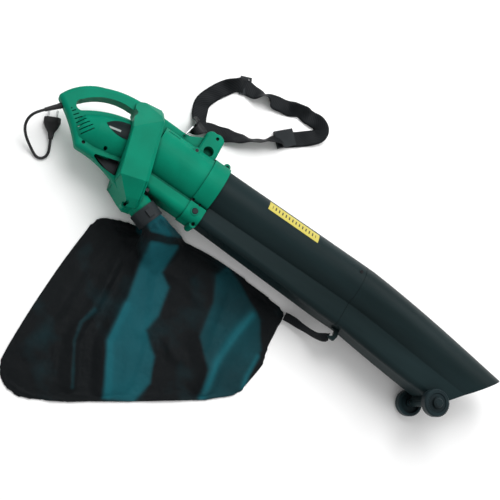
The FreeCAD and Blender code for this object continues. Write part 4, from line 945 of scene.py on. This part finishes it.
# ---------------------------------------------------------------- cord and plug
# A short round cord of black rubber leaves the tapered relief, falls to the ground and
# turns back in a tight bend to its flat moulded plug.
CORD_POINTS = [
    (-0.2181, -0.0221, 0.085), (-0.2283, -0.0347, 0.085), (-0.2365, -0.048, 0.0755),
    (-0.238, -0.061, 0.059), (-0.2325, -0.0715, 0.042), (-0.2215, -0.080, 0.026),
    (-0.205, -0.0885, 0.013), (-0.1871, -0.0974, 0.005), (-0.1771, -0.0992, 0.0042),
    (-0.1681, -0.0944, 0.0044), (-0.1635, -0.0854, 0.0056), (-0.1646, -0.0744, 0.009),
    (-0.1702, -0.0624, 0.012), (-0.17745, -0.0484, 0.012),
]
CORD_THICK = 0.0064
CORD_BLACK = (0.012, 0.012, 0.013)
CORD_DUSTY = (0.022, 0.022, 0.024)
cord_rubber = moulded_plastic("cord_rubber", CORD_BLACK, CORD_DUSTY, rough=0.45, grain=700)
cord_curve = bpy.data.curves.new("mains_cord", "CURVE")
cord_curve.dimensions = "3D"
cord_line = cord_curve.splines.new("NURBS")
cord_line.points.add(len(CORD_POINTS) - 1)
for control, place in zip(cord_line.points, CORD_POINTS):
    control.co = (*place, 1)
cord_line.order_u = 3
cord_line.use_endpoint_u = True
cord_line.resolution_u = 12
cord_curve.bevel_depth = CORD_THICK / 2
cord_curve.bevel_resolution = 5
cord_curve.use_fill_caps = True
cord_curve.materials.append(cord_rubber)
cord = bpy.data.objects.new("mains_cord", cord_curve)
bpy.context.scene.collection.objects.link(cord)
dress(cord_rubber, "plug_body", "strain_relief")
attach(cord, "machine")
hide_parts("cord")

# ---------------------------------------------------------------- floor, light and camera
# A pale floor, three soft lamps and the camera, high over the machine.
FLOOR_REACH = 12
FLOOR_WHITE = (0.98, 0.98, 0.98, 1)
SKY_STRENGTH = 0.5
floor_finish, _, floor_shader = new_material("pale_floor")
floor_shader.inputs["Base Color"].default_value = FLOOR_WHITE
floor_shader.inputs["Roughness"].default_value = 0.9
floor_mesh = bpy.data.meshes.new("floor")
floor_mesh.from_pydata(
    [(-FLOOR_REACH, -FLOOR_REACH, 0), (FLOOR_REACH, -FLOOR_REACH, 0),
     (FLOOR_REACH, FLOOR_REACH, 0), (-FLOOR_REACH, FLOOR_REACH, 0)], [], [(0, 1, 2, 3)]
)
floor_mesh.materials.append(floor_finish)
floor = bpy.data.objects.new("floor", floor_mesh)
bpy.context.scene.collection.objects.link(floor)

AIM = Vector((0.36, -0.05, 0.05))
# each lamp's name, place, width in metres and power in watts
LAMPS = [
    ("key", (-0.2, 1.3, 2.2), 1.8, 58),
    ("fill", (1.8, -1.6, 2.0), 2.4, 10),
    ("rim", (1.6, 1.8, 1.4), 1.2, 18),
]
for name, place, width, power in LAMPS:
    lamp_data = bpy.data.lights.new(name, "AREA")
    lamp_data.size = width
    lamp_data.energy = power
    lamp = bpy.data.objects.new(name, lamp_data)
    lamp.location = place
    lamp.rotation_euler = (AIM - Vector(place)).to_track_quat("-Z", "Y").to_euler()
    bpy.context.scene.collection.objects.link(lamp)
world = bpy.data.worlds.new("studio")
world.use_nodes = True
world.node_tree.nodes["Background"].inputs["Color"].default_value = (1, 1, 1, 1)
world.node_tree.nodes["Background"].inputs["Strength"].default_value = SKY_STRENGTH
bpy.context.scene.world = world
bpy.context.scene.view_settings.view_transform = "Standard"

CAMERA_PLACE = Vector((-0.0600, -0.6578, 2.1020))
CAMERA_LENS = 68.4
CAMERA_SENSOR = 36
camera_data = bpy.data.cameras.new("camera")
camera_data.lens = CAMERA_LENS
camera_data.sensor_width = CAMERA_SENSOR
camera = bpy.data.objects.new("camera", camera_data)
camera_right = Vector((0.8126, 0.4928, 0.3111))
camera_up = Vector((-0.5542, 0.8185, 0.1511))
camera_back = camera_right.cross(camera_up)
camera.matrix_world = Matrix((
    (camera_right.x, camera_up.x, camera_back.x, CAMERA_PLACE.x),
    (camera_right.y, camera_up.y, camera_back.y, CAMERA_PLACE.y),
    (camera_right.z, camera_up.z, camera_back.z, CAMERA_PLACE.z),
    (0, 0, 0, 1),
))
bpy.context.scene.collection.objects.link(camera)
bpy.context.scene.camera = camera
